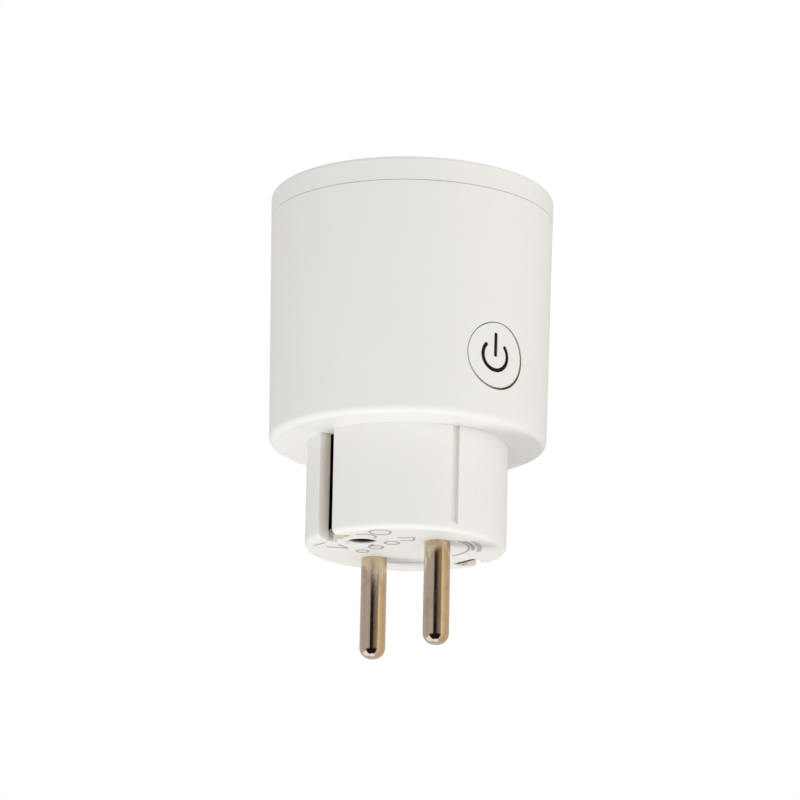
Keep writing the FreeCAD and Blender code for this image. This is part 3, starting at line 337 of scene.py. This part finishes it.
WIRE_TURNS = 900.0
WIRE_DEPTH = 0.00005
WIRE_SHADE = 0.45
WIRE_METAL = 0.7
WIRE_ROUGHNESS = 0.35


def winding(name, colour):
    """Fine enamelled wire: bands across Z with a slight unevenness."""
    material, tree, shader = start_material(name)
    place = new_node(tree, "ShaderNodeTexCoord").outputs["Object"]
    turn_look = {"Vector": place, "Scale": WIRE_TURNS, "Distortion": 0.6, "Detail": 1.0}
    turns = new_node(tree, "ShaderNodeTexWave", turn_look)
    turns.bands_direction = "Z"
    shade = mix_colours(tree, turns.outputs["Fac"], tuple(c * WIRE_SHADE for c in colour), colour)
    tree.links.new(shade, shader.inputs["Base Color"])
    shader.inputs["Metallic"].default_value = WIRE_METAL
    shader.inputs["Roughness"].default_value = WIRE_ROUGHNESS
    use_height(tree, shader, turns.outputs["Fac"], WIRE_DEPTH)
    return material


SHELL_WHITE = (0.868, 0.855, 0.833)
SHELL_TINT = (0.80, 0.765, 0.70)
NICKEL = (0.78, 0.71, 0.62)

FINISHES = {
    "shell": plastic("warm_white_shell", SHELL_WHITE, SHELL_TINT, roughness=0.42, skin=0.12),
    "nickel": metal("nickel_plate", NICKEL, (0.50, 0.38, 0.27), roughness=0.11),
    "pin": metal("polished_pin", NICKEL, (0.55, 0.42, 0.26), roughness=0.03, lines=2600.0, depth=0.000012),
    "earth_strip": metal("earth_strip", NICKEL, (0.50, 0.38, 0.27), roughness=0.16),
    # the marks' darker grey is painted shade, standing in for the shade held in engraved lines
    "mark": plastic("mark_painted_shade", (0.44, 0.42, 0.40), roughness=0.5),
    "tinned_brass": metal("tinned_brass", (0.80, 0.72, 0.52), roughness=0.28),
    "brown_wire": plastic("brown_wire_skin", (0.16, 0.07, 0.035), roughness=0.4, depth=0.00001),
    "blue_wire": plastic("blue_wire_skin", (0.03, 0.10, 0.34), roughness=0.4, depth=0.00001),
    "shutter_plastic": plastic(
        "slippery_shutter", (0.80, 0.80, 0.77), roughness=0.28, depth=0.000006, skin=0.1,
    ),
    "spring_steel": metal("spring_steel", (0.58, 0.57, 0.56), roughness=0.24),
    "inner_plastic": plastic(
        "glass_filled_carrier", (0.70, 0.69, 0.65), roughness=0.6, grain=4000.0, depth=0.00004,
    ),
    "steel": metal("zinc_steel", (0.68, 0.69, 0.71), (0.45, 0.45, 0.42), roughness=0.3),
    "circuit_board": circuit_lacquer("green_board", (0.012, 0.10, 0.03), (0.03, 0.19, 0.06)),
    "smoked_plastic": plastic("smoked_guide", (0.012, 0.007, 0.005), roughness=0.42, depth=0.000004),
    "black_plastic": plastic("black_compound", (0.022, 0.022, 0.024), roughness=0.5, grain=5000.0),
    "lamp_resin": plastic(
        "lamp_resin", (0.82, 0.74, 0.42), roughness=0.18, depth=0.000004, skin=0.3, coat=0.4,
    ),
    "relay_plastic": plastic("relay_cover", (0.02, 0.09, 0.30), roughness=0.38),
    "soft_iron": metal("soft_iron", (0.52, 0.50, 0.47), (0.34, 0.27, 0.20), roughness=0.38),
    "coil_copper": winding("coil_copper", (0.72, 0.28, 0.11)),
    "radio_board_lacquer": circuit_lacquer("radio_board", (0.008, 0.02, 0.10), (0.02, 0.05, 0.20)),
    "capacitor_sleeve": plastic("can_sleeve", (0.012, 0.012, 0.03), roughness=0.3, depth=0.00001, coat=0.2),
    "film_yellow": plastic("film_box", (0.72, 0.36, 0.03), roughness=0.4),
    "ferrite": plastic("ferrite_drum", (0.035, 0.033, 0.033), roughness=0.7, grain=3000.0, depth=0.00005),
    "varistor_blue": plastic("varistor_dip", (0.015, 0.08, 0.38), roughness=0.3, coat=0.3),
    "fuse_green": plastic("fuse_lacquer", (0.06, 0.16, 0.08), roughness=0.35, coat=0.2),
    "resistance_metal": metal("resistance_strip", (0.52, 0.42, 0.34), roughness=0.34),
}


TO_MM = (1000.0, 1000.0, 1000.0)


def position(tree):
    """The x, y and z sockets of the place in the shared frame, in millimetres."""
    place = new_node(tree, "ShaderNodeTexCoord").outputs["Object"]
    size = new_node(tree, "ShaderNodeVectorMath", {0: place, 1: TO_MM}, operation="MULTIPLY")
    split = new_node(tree, "ShaderNodeSeparateXYZ", {0: size.outputs["Vector"]})
    return split.outputs["X"], split.outputs["Y"], split.outputs["Z"]


def between(tree, value, low, high):
    """1 where value lies between low and high, otherwise 0."""
    above = maths(tree, "GREATER_THAN", value, low)
    below = maths(tree, "LESS_THAN", value, high)
    return maths(tree, "MULTIPLY", above, below)


def length(tree, a, b):
    """The square root of a squared plus b squared."""
    squares = maths(tree, "ADD", maths(tree, "MULTIPLY", a, a), maths(tree, "MULTIPLY", b, b))
    return maths(tree, "SQRT", squares)


def both(tree, a, b):
    """The product of two masks."""
    return maths(tree, "MULTIPLY", a, b)


def tint_finish(finish, mask, colour):
    """Multiplies a finish's colour by another one where the mask is set."""
    tree = FINISHES[finish].node_tree
    base = tree.nodes["Principled BSDF"].inputs["Base Color"]
    before = base.links[0].from_socket
    tree.links.new(mix_colours(tree, mask, before, colour, "MULTIPLY"), base)


# the plug's shell, in millimetres
EARTH_SLOT_HALF = 3.2
EARTH_SLOT_FOOT = 1.7
NECK_TOP = 19.6
EARTH_SLOT_START = 18.5
EARTH_SLOT_FADE = 3.0
# painted light and shade: the slot's walls made lighter in red and darker in blue towards their depth
EARTH_SLOT_PAINTED_LIGHT = (1.14, 1.02, 0.88)
EARTH_HOLE_Y = 10.0
EARTH_HOLE_REACH = 2.75
EARTH_HOLE_FROM = 0.42
EARTH_HOLE_TO = 4.5
HOLE_SHADE = [(0.0, 0.0), (0.17, 0.10), (0.30, 1.0), (1.0, 1.0)]
HOLE_SHADE_DEPTH = 3.0
# painted shade: near black on the wall inside the earth hole
HOLE_PAINTED_SHADE = (0.04, 0.02, 0.012)
NECK_FOOT = 18.6
NECK_SLOPE = 0.0051
SUNK_BY = 0.07
GROOVE_SIDES = (2.45, 3.8)
GROOVE_BEYOND_X = 17.0
GROOVE_FOOT = 0.9
GROOVE_LEAN = (4.3, 2.6)
# painted shade in the guide grooves
GROOVE_PAINTED_SHADE = (0.80, 0.76, 0.72)
BUTTON_Z = 31.9
BUTTON_GAP = (5.96, 6.34)
BUTTON_GAP_DEPTH = (18.0, 26.42)
BUTTON_BEYOND_X = 15.0
# painted shade: a brown darkening in the gap round the button, spread across it by a slanted ramp
GAP_SHADE_LEAN = 0.65
GAP_SHADE_SPAN = 13.4
GAP_SHADE_SPREAD = [(0.0, 0.0), (0.30, 0.08), (0.50, 0.42), (0.80, 0.9), (1.0, 1.0)]
GAP_PAINTED_SHADE = (0.52, 0.37, 0.20)


def paint_earth_slot_light(tree, x, y, z):
    """Painted warm bounce light and shade that grows with the depth of the slot: red lighter, blue darker."""
    inside = between(tree, x, -EARTH_SLOT_HALF, EARTH_SLOT_HALF)
    inside = both(tree, inside, between(tree, z, EARTH_SLOT_FOOT, NECK_TOP))
    depth = maths(tree, "SUBTRACT", EARTH_SLOT_START, length(tree, x, y))
    depth = maths(tree, "DIVIDE", depth, EARTH_SLOT_FADE, True)
    tint_finish("shell", both(tree, inside, depth), EARTH_SLOT_PAINTED_LIGHT)


def paint_earth_hole_shade(tree, x, y, z):
    """Painted shade that darkens the white wall of the hole, starting behind its lead-in."""
    reach = length(tree, x, maths(tree, "ADD", y, EARTH_HOLE_Y))
    wall = maths(tree, "LESS_THAN", reach, EARTH_HOLE_REACH)
    wall = both(tree, wall, between(tree, z, EARTH_HOLE_FROM, EARTH_HOLE_TO))
    shade = ramp(tree, maths(tree, "DIVIDE", z, HOLE_SHADE_DEPTH), HOLE_SHADE)
    tint_finish("shell", both(tree, wall, shade), HOLE_PAINTED_SHADE)


def paint_groove_shade(tree, x, y, z):
    """A painted shade in the guide grooves, on the surface that lies deeper than the neck's taper."""
    surface = maths(tree, "ADD", maths(tree, "MULTIPLY", z, NECK_SLOPE), NECK_FOOT - SUNK_BY)
    sunk = maths(tree, "LESS_THAN", length(tree, x, y), surface)
    across = maths(tree, "ABSOLUTE", y)
    beyond = maths(tree, "GREATER_THAN", maths(tree, "ABSOLUTE", x), GROOVE_BEYOND_X)
    groove = both(tree, between(tree, across, *GROOVE_SIDES), beyond)
    groove = both(tree, groove, both(tree, sunk, between(tree, z, GROOVE_FOOT, NECK_TOP)))
    start, fade = GROOVE_LEAN
    lean = maths(tree, "DIVIDE", maths(tree, "SUBTRACT", start, across), fade, True)
    tint_finish("shell", both(tree, groove, lean), GROOVE_PAINTED_SHADE)


def paint_button_gap_shade(tree, x, y, z):
    """A brown painted shade in the gap round the button, thickest at its low right."""
    above = maths(tree, "SUBTRACT", z, BUTTON_Z)
    ring = between(tree, length(tree, y, above), *BUTTON_GAP)
    below = between(tree, length(tree, x, y), *BUTTON_GAP_DEPTH)
    below = both(tree, below, maths(tree, "GREATER_THAN", x, BUTTON_BEYOND_X))
    lean = maths(tree, "SUBTRACT", y, maths(tree, "MULTIPLY", above, GAP_SHADE_LEAN))
    gap_shade = ramp(tree, maths(tree, "ADD", maths(tree, "DIVIDE", lean, GAP_SHADE_SPAN), 0.5, True), GAP_SHADE_SPREAD)
    tint_finish("shell", both(tree, both(tree, ring, below), gap_shade), GAP_PAINTED_SHADE)


def paint_shell_light_and_shade():
    """The shell's painted light and shade in its earth slots, earth hole, grooves and button gap, each
    multiplied onto its white.
    """
    tree = FINISHES["shell"].node_tree
    for tint in (paint_earth_slot_light, paint_earth_hole_shade, paint_groove_shade, paint_button_gap_shade):
        tint(tree, *position(tree))


# the pins and the earth strips, in millimetres
PIN_LENGTH = 19.0
PIN_HANDLED = [(0.0, 0.17), (0.3, 0.13), (0.6, 0.07), (0.85, 0.03), (1.0, 0.02)]
PIN_ROOT = [(0.0, 1.0), (0.10, 0.7), (0.25, 0.0), (1.0, 0.0)]
PIN_ROOT_TINT = (0.86, 0.76, 0.58)
STRIP_EDGE = 1.3
STRIP_BEYOND_Y = 14.6
STRIP_HEIGHTS = (1.9, 21.0)
# painted shade: near black on the strips' edges behind the slots' lips
STRIP_EDGE_PAINTED_SHADE = (0.012, 0.009, 0.007)
STRIP_FOOT_BEYOND_Y = 12.0
STRIP_FOOT_BELOW_Z = 2.3
STRIP_FOOT_TINT = (0.30, 0.22, 0.16)


def age_pins():
    """Pins yellowish at their roots and smoother towards their tips."""
    tree = FINISHES["pin"].node_tree
    down = maths(tree, "DIVIDE", position(tree)[2], -PIN_LENGTH, True)
    tint_finish("pin", ramp(tree, down, PIN_ROOT), PIN_ROOT_TINT)
    rough = tree.nodes["Principled BSDF"].inputs["Roughness"]
    handled = ramp(tree, down, PIN_HANDLED)
    tree.links.new(maths(tree, "ADD", rough.links[0].from_socket, handled), rough)


def paint_earth_strip_shade():
    """Earth strips painted near black along the edges behind the slots' lips as painted shade, and darker at
    the foot of the one on +Y.
    """
    tree = FINISHES["earth_strip"].node_tree
    x, y, z = position(tree)
    edge = maths(tree, "GREATER_THAN", maths(tree, "ABSOLUTE", x), STRIP_EDGE)
    outside = maths(tree, "GREATER_THAN", maths(tree, "ABSOLUTE", y), STRIP_BEYOND_Y)
    face = both(tree, outside, between(tree, z, *STRIP_HEIGHTS))
    tint_finish("earth_strip", both(tree, edge, face), STRIP_EDGE_PAINTED_SHADE)
    beyond = maths(tree, "GREATER_THAN", y, STRIP_FOOT_BEYOND_Y)
    foot = both(tree, beyond, maths(tree, "LESS_THAN", z, STRIP_FOOT_BELOW_Z))
    tint_finish("earth_strip", foot, STRIP_FOOT_TINT)


paint_shell_light_and_shade()
age_pins()
paint_earth_strip_shade()

SMOKED_GLOSS = 0.12
smoked = FINISHES["smoked_plastic"].node_tree.nodes["Principled BSDF"]
smoked.inputs["Specular IOR Level"].default_value = SMOKED_GLOSS


def dress(thing, finish):
    """Gives an object one finish, in place of what it had."""
    thing.data.materials.clear()
    thing.data.materials.append(FINISHES[finish])


CAD_FINISHES = {"earth_frame": "earth_strip"}
for entry in frame["record"]["subparts"]:
    dress(frame["nodes"][entry["node"]], CAD_FINISHES.get(entry["node"], entry["material_slot"]))


# ---- surfaces ---------------------------------------------------------------------------------------------
SHARP_ANGLE = math.radians(32)


def add_piece(name, points, faces, slot, body, replaces=(), finish=None):
    """A mesh from point and face arrays, smooth but for its sharp edges, riding on a body."""
    mesh = bpy.data.meshes.new(name)
    mesh.from_pydata(points.tolist(), [], faces)
    mesh.validate()
    mesh.shade_smooth()
    mesh.set_sharp_from_angle(angle=SHARP_ANGLE)
    piece = bpy.data.objects.new(name, mesh)
    scene.collection.objects.link(piece)
    dress(piece, finish or slot)
    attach(piece, body)
    if replaces:
        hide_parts(*replaces)


def wrapped_faces(rows, columns):
    """Quads over a grid of points whose columns wrap round."""
    here = np.arange(rows * columns).reshape(rows, columns)
    along = np.roll(here, -1, axis=1)
    return np.stack([here[:-1], along[:-1], along[1:], here[1:]], -1).reshape(-1, 4).tolist()


ROUNDING_POINTS = 7


def rounded_profile(corners):
    """Points along a line of (radius, height, rounding) corners, each rounded by a tangent arc of that
    radius: p(t) = centre + r (cos t, sin t) between the two tangent points."""
    path = []
    last = len(corners) - 1
    for i, (r, z, rounding) in enumerate(corners):
        here = np.array([r, z])
        if rounding <= 0 or i in (0, last):
            path.append(here)
            continue
        before = np.array(corners[i - 1][:2]) - here
        after = np.array(corners[i + 1][:2]) - here
        before, after = before / np.linalg.norm(before), after / np.linalg.norm(after)
        half = math.acos(np.clip(before @ after, -1, 1)) / 2
        middle = (before + after) / np.linalg.norm(before + after)
        centre = here + middle * rounding / math.sin(half)
        ends = [here + side * rounding / math.tan(half) - centre for side in (before, after)]
        swing = np.arctan2(ends[1][1], ends[1][0]) - np.arctan2(ends[0][1], ends[0][0])
        swing = (swing + math.pi) % (2 * math.pi) - math.pi
        angle = np.arctan2(ends[0][1], ends[0][0]) + np.linspace(0, swing, ROUNDING_POINTS)
        path.extend(centre + rounding * np.stack([np.cos(angle), np.sin(angle)], -1))
    return np.array(path)


TURNED_SIDES = 96


def lathe(name, corners, slot, body, centre, replaces, finish):
    """A closed turned solid: p(s, t) = (c + r(s) cos t, c + r(s) sin t, z(s)), with its two ends on the axis.
    Corners run from the lower pole to the upper one, in millimetres."""
    profile = rounded_profile(corners) * MM
    rings = profile[1:-1]
    turn = np.linspace(0, 2 * math.pi, TURNED_SIDES, endpoint=False)
    x = centre[0] * MM + rings[:, :1] * np.cos(turn)
    y = centre[1] * MM + rings[:, :1] * np.sin(turn)
    z = np.repeat(rings[:, 1:], TURNED_SIDES, axis=1)
    points = np.stack([x, y, z], -1).reshape(-1, 3)
    faces = wrapped_faces(len(rings), TURNED_SIDES)
    poles = np.array([[centre[0] * MM, centre[1] * MM, profile[k, 1]] for k in (0, -1)])
    low, high, top = len(points), len(points) + 1, (len(rings) - 1) * TURNED_SIDES
    here = np.arange(TURNED_SIDES)
    ahead = np.roll(here, -1)
    faces += np.stack([np.full_like(here, low), ahead, here], -1).tolist()
    faces += np.stack([np.full_like(here, high), top + here, top + ahead], -1).tolist()
    add_piece(name, np.concatenate([points, poles]), faces, slot, body, replaces, finish)


MARK_SECTION_POINTS = 9
MARK_END_TAPER = 0.55


def bead(path, width, height, closed=False):
    """The points, quads and end faces of a low rounded rib that stands out of the plug's face. At each
    point of the path its section is half an ellipse, p(s, a) = path(s) + w/2 cos(a) side(s) - h sin(a) Z,
    closed just inside the face."""
    path = np.asarray(path, float)
    ahead = np.roll(path, -1, 0) - np.roll(path, 1, 0) if closed else np.gradient(path, axis=0)
    ahead /= np.linalg.norm(ahead, axis=1, keepdims=True)
    side = np.stack([-ahead[:, 1], ahead[:, 0]], -1)
    angle = np.linspace(0, math.pi, MARK_SECTION_POINTS)
    taper = np.ones(len(path))
    if not closed:
        taper[[0, -1]] = MARK_END_TAPER
    across = (width / 2 * taper)[:, None] * np.cos(angle)
    drop = (height * taper)[:, None] * np.sin(angle)
    xy = path[:, None, :] + across[..., None] * side[:, None, :]
    points = np.concatenate([xy, -drop[..., None]], -1)
    back = np.concatenate([xy[:, [-1, 0]], np.full((len(path), 2, 1), MARK_ROOT)], -1)
    points = np.concatenate([points, back], 1) * MM
    rows, columns = points.shape[:2]
    index = np.arange(rows * columns).reshape(rows, columns)
    turned = np.roll(index, -1, 1)
    if closed:
        quads = np.stack([index, np.roll(index, -1, 0), np.roll(turned, -1, 0), turned], -1)
        ends = index[:0]
    else:
        quads = np.stack([index[:-1], index[1:], turned[1:], turned[:-1]], -1)
        ends = np.stack([index[0], index[-1][::-1]])
    return points.reshape(-1, 3), quads.reshape(-1, 4), ends


ARC_POINTS = 28


def arc_path(centre, radius, start, end, count=ARC_POINTS):
    """Points on a circle: centre + radius (cos t, sin t), t in degrees."""
    whole = abs(end - start) >= 360
    angle = np.radians(np.linspace(start, end, count, endpoint=not whole))
    return np.stack([centre[0] + radius * np.cos(angle), centre[1] + radius * np.sin(angle)], -1)


# the pins, as (radius, height, rounding) from the tip to the inner end, in millimetres
PIN_X = 9.5
PIN_CORNERS = [
    (0, -19, 0), (2.4, -19, 2.1), (2.4, 0, 0), (2.15, 0, 0), (2.15, 5, 0), (3.5, 5, 0.15), (3.5, 6, 0.15),
    (1.8, 6, 0), (1.8, 9.2, 0.3), (0, 9.2, 0),
]
lathe("pin_by_button", PIN_CORNERS, "nickel", "plug", (PIN_X, 0), ["line_pin"], "pin")
lathe("pin_away_from_button", PIN_CORNERS, "nickel", "plug", (-PIN_X, 0), ["neutral_pin"], "pin")

# the marks on the face, in millimetres and degrees; rings are (x, y, radius), arcs are centre, radius,
# first and last angle, and bars run from one (x, y) to another
MARK_WIDTH = 0.44
MARK_HEIGHT = 0.1
MARK_ROOT = 0.05
FACE_RINGS = [(3.5, -5.9, 1.3), (-1.3, -5.85, 1.3), (-5.6, -5.7, 1.1), (8.9, -12.7, 1.9)]
FACE_ARCS = [((4.0, -12.6), 2.1, -80, 80), ((4.1, 0.2), 9.0, 12, 101)]
FACE_BARS = [
    (-8.0, -15.0, -4.6, -15.0), (-7.2, -12.9, -5.6, -9.0), (-5.6, -9.0, -4.3, -12.2), (6.2, -6.0, 7.7, -4.1),
    (7.7, -4.1, 9.9, -5.6), (9.9, -5.6, 7.4, -7.7),
]
TICK_WIDTH = 0.26
# arcs of ticks are centre, inner and outer radius, first and last angle, count; the row is two ends, count
TICK_ARCS = [((4.1, 0.2), 9.4, 10.2, 18, 60, 13), ((2.7, -1.4), 12.6, 13.6, 27, 62, 11)]
TICK_ROW = ((-9.9, 4.1), (-5.7, 8.6), 12)
TICK_HALF = 0.35
TICK_POINTS = 4
RING_POINTS = 40
BAR_POINTS = 12


def radial_ticks(centre, near, far, start, end, count):
    """Short bars that point at a centre, evenly spaced in angle."""
    inner = arc_path(centre, near, start, end, count)
    outer = arc_path(centre, far, start, end, count)
    return [bead(np.linspace(a, b, TICK_POINTS), TICK_WIDTH, MARK_HEIGHT) for a, b in zip(inner, outer)]


def row_ticks(start, end, count):
    """Short bars across a straight row, evenly spaced along it."""
    ahead = (np.array(end) - start) / np.linalg.norm(np.array(end) - start)
    half = np.array([-ahead[1], ahead[0]]) * TICK_HALF
    places = np.linspace(start, end, count)
    return [bead(np.linspace(p - half, p + half, TICK_POINTS), TICK_WIDTH, MARK_HEIGHT) for p in places]


def make_face_marks():
    """Plain raised rings, arcs, bars and ticks on the plug's face, like moulder's marks that say nothing."""
    rings = [arc_path((x, y), radius, 0, 360, RING_POINTS) for x, y, radius in FACE_RINGS]
    ribs = [bead(ring, MARK_WIDTH, MARK_HEIGHT, True) for ring in rings]
    ribs += [bead(arc_path(*arc), MARK_WIDTH, MARK_HEIGHT) for arc in FACE_ARCS]
    ribs += [bead(np.linspace(bar[:2], bar[2:], BAR_POINTS), MARK_WIDTH, MARK_HEIGHT) for bar in FACE_BARS]
    for arc in TICK_ARCS:
        ribs += radial_ticks(*arc)
    ribs += row_ticks(*TICK_ROW)
    points, faces, first = [], [], 0
    for rib_points, quads, ends in ribs:
        points.append(rib_points)
        faces += (quads + first).tolist() + (ends + first).tolist()
        first += len(rib_points)
    add_piece("face_marks", np.concatenate(points), faces, "shell", "plug", finish="mark")


make_face_marks()


# ---- floor, light and surroundings ------------------------------------------------------------------------
FLOOR_Z = -0.75
FLOOR_HALF = 1.2
FLOOR_POINTS = 9
FLOOR_ROUGHNESS = 0.8
MOTTLE_SCALE = 3.0
FLOOR_GREY = (0.86, 0.86, 0.85)
FLOOR_PALE = (0.90, 0.90, 0.89)


def make_floor():
    """A plain square floor well below the plug: p(s, t) = (s, t, floor height) on a flat grid."""
    steps = np.linspace(-FLOOR_HALF, FLOOR_HALF, FLOOR_POINTS)
    x, y = np.meshgrid(steps, steps, indexing="ij")
    points = np.stack([x, y, np.full_like(x, FLOOR_Z)], -1).reshape(-1, 3)
    index = np.arange(FLOOR_POINTS ** 2).reshape(FLOOR_POINTS, FLOOR_POINTS)
    quads = np.stack([index[:-1, :-1], index[1:, :-1], index[1:, 1:], index[:-1, 1:]], -1).reshape(-1, 4)
    mesh = bpy.data.meshes.new("floor")
    mesh.from_pydata(points.tolist(), [], quads.tolist())
    floor = bpy.data.objects.new("floor", mesh)
    scene.collection.objects.link(floor)
    material, tree, shader = start_material("floor_paint")
    place = new_node(tree, "ShaderNodeTexCoord").outputs["Object"]
    mottle = new_node(tree, "ShaderNodeTexNoise", {"Vector": place, "Scale": MOTTLE_SCALE, "Detail": 2.0})
    shade = mix_colours(tree, mottle.outputs["Fac"], FLOOR_GREY, FLOOR_PALE)
    tree.links.new(shade, shader.inputs["Base Color"])
    shader.inputs["Roughness"].default_value = FLOOR_ROUGHNESS
    mesh.materials.append(material)
    floor.visible_glossy = False


# the surroundings, turn by turn: 0 and 1 lie behind the plug, 0.25 to its left, 0.5 in front of it;
# height by height, 0 is straight down, 0.5 level and 1 straight up
SOFT_TURN = [(0.0, 0.82), (0.25, 0.80), (0.5, 0.58), (0.75, 0.79), (1.0, 0.82)]
SOFT_RISE = [(0.0, 0.92), (0.5, 0.97), (1.0, 1.0)]
GLOSS_TURN = [
    (0.0, (0.62, 0.56, 0.50)),
    (0.12, (0.56, 0.49, 0.46)),
    (0.25, (0.46, 0.39, 0.35)),
    (0.38, (0.50, 0.43, 0.38)),
    (0.425, (0.44, 0.37, 0.32)),
    (0.44, 0.012),
    (0.50, 0.012),
    (0.517, (0.10, 0.08, 0.06)),
    (0.55, (0.22, 0.17, 0.12)),
    (0.60, (0.30, 0.22, 0.12)),
    (0.64, (0.92, 0.74, 0.50)),
    (0.68, (0.72, 0.54, 0.35)),
    (0.76, (0.60, 0.45, 0.29)),
    (0.86, (0.58, 0.48, 0.38)),
    (1.0, (0.62, 0.56, 0.50)),
]
GLOSS_DARK = [(0.0, 1.0), (0.34, 1.0), (0.42, 0.0), (1.0, 0.0)]
GLOSS_DARK_TURN = [(0.0, 0.0), (0.31, 0.0), (0.34, 1.0), (0.60, 1.0), (0.66, 0.0), (1.0, 0.0)]
GLOSS_GLINT = [(0.0, 1.0), (0.018, 1.0), (0.032, 0.0), (1.0, 0.0)]
GLOSS_SIDE = [(0.0, 1.0), (0.24, 1.0), (0.30, 0.0), (1.0, 0.0)]
GLOSS_SIDE_TURN = [(0.0, 0.0), (0.10, 0.0), (0.14, 1.0), (0.30, 1.0), (0.32, 0.0), (1.0, 0.0)]
DARK_STAND = (0.012, 0.010, 0.008)
GLINT_BELOW = (1.0, 1.0, 0.98)
GLINT_BESIDE = (1.0, 0.96, 0.92)
PLAIN_WHITE = (1.0, 1.0, 1.0)


def make_world():
    """White surroundings. Gloss sees a studio instead: pale sides, a dark stand in front, a warm wall."""
    world = bpy.data.worlds.new("studio")
    scene.world = world
    world.use_nodes = True
    tree = world.node_tree
    tree.nodes.clear()
    place = new_node(tree, "ShaderNodeTexCoord").outputs["Generated"]
    front = (math.sin(CAMERA_TURN), -math.cos(CAMERA_TURN), 0)
    side = (math.cos(CAMERA_TURN), math.sin(CAMERA_TURN), 0)

    def along(direction):
        node = new_node(tree, "ShaderNodeVectorMath", {0: place, 1: direction}, operation="DOT_PRODUCT")
        return node.outputs["Value"]

    turn = maths(tree, "DIVIDE", maths(tree, "ARCTAN2", along(side), along(front)), 2 * math.pi)
    turn = maths(tree, "ADD", turn, 0.5)
    height = maths(tree, "ADD", maths(tree, "MULTIPLY", along((0, 0, 1)), 0.5), 0.5)
    diffuse = mix_colours(tree, 1.0, ramp(tree, turn, SOFT_TURN), ramp(tree, height, SOFT_RISE), "MULTIPLY")
    dark = both(tree, ramp(tree, height, GLOSS_DARK), ramp(tree, turn, GLOSS_DARK_TURN))
    gloss = mix_colours(tree, dark, ramp(tree, turn, GLOSS_TURN), DARK_STAND)
    gloss = mix_colours(tree, ramp(tree, height, GLOSS_GLINT), gloss, GLINT_BELOW)
    beside = both(tree, ramp(tree, height, GLOSS_SIDE), ramp(tree, turn, GLOSS_SIDE_TURN))
    gloss = mix_colours(tree, beside, gloss, GLINT_BESIDE)
    path = new_node(tree, "ShaderNodeLightPath")
    shown = mix_colours(tree, path.outputs["Is Glossy Ray"], diffuse, gloss)
    shown = mix_colours(tree, path.outputs["Is Camera Ray"], shown, PLAIN_WHITE)
    background = new_node(tree, "ShaderNodeBackground", {"Color": shown, "Strength": 1.0})
    output = new_node(tree, "ShaderNodeOutputWorld")
    tree.links.new(background.outputs[0], output.inputs["Surface"])


# name, direction from the plug as (front, right, up), distance, size, power, colour
LAMPS = [
    ("low_left", (0.12, -0.46, -1.0), 0.6, 0.16, 1.2, (0.98, 1.0, 1.0)),
    ("front", (1.0, 0.42, -0.22), 0.9, 0.5, 2.0, (1.0, 0.985, 0.97)),
    ("high_right", (0.5, 0.85, 0.02), 0.9, 0.5, 0.8, (1.0, 0.98, 0.96)),
]
LIT_POINT = Vector((0, 0, 0.03))


def make_lamp(name, away, distance, size, power, colour):
    """A round soft lamp that looks at the plug, and isn't itself seen in gloss."""
    data = bpy.data.lights.new(name, "AREA")
    data.shape = "DISK"
    data.size = size
    data.energy = power
    data.color = colour
    lamp = bpy.data.objects.new(name, data)
    facing = away.to_track_quat("Z", "Y").to_matrix().to_4x4()
    lamp.matrix_world = Matrix.Translation(LIT_POINT + away * distance) @ facing
    lamp.visible_glossy = False
    scene.collection.objects.link(lamp)


def make_lights():
    """A small lamp low on the left, a large one in front and a weaker large one on the right."""
    front = Vector((math.sin(CAMERA_TURN), -math.cos(CAMERA_TURN), 0))
    side = Vector((math.cos(CAMERA_TURN), math.sin(CAMERA_TURN), 0))
    for name, (ahead, aside, rise), *rest in LAMPS:
        away = front * ahead + side * aside + Vector((0, 0, rise))
        make_lamp(name, away.normalized(), *rest)


make_camera()
make_world()
make_floor()
make_lights()
scene.view_settings.view_transform = "Standard"
scene.view_settings.look = "None"
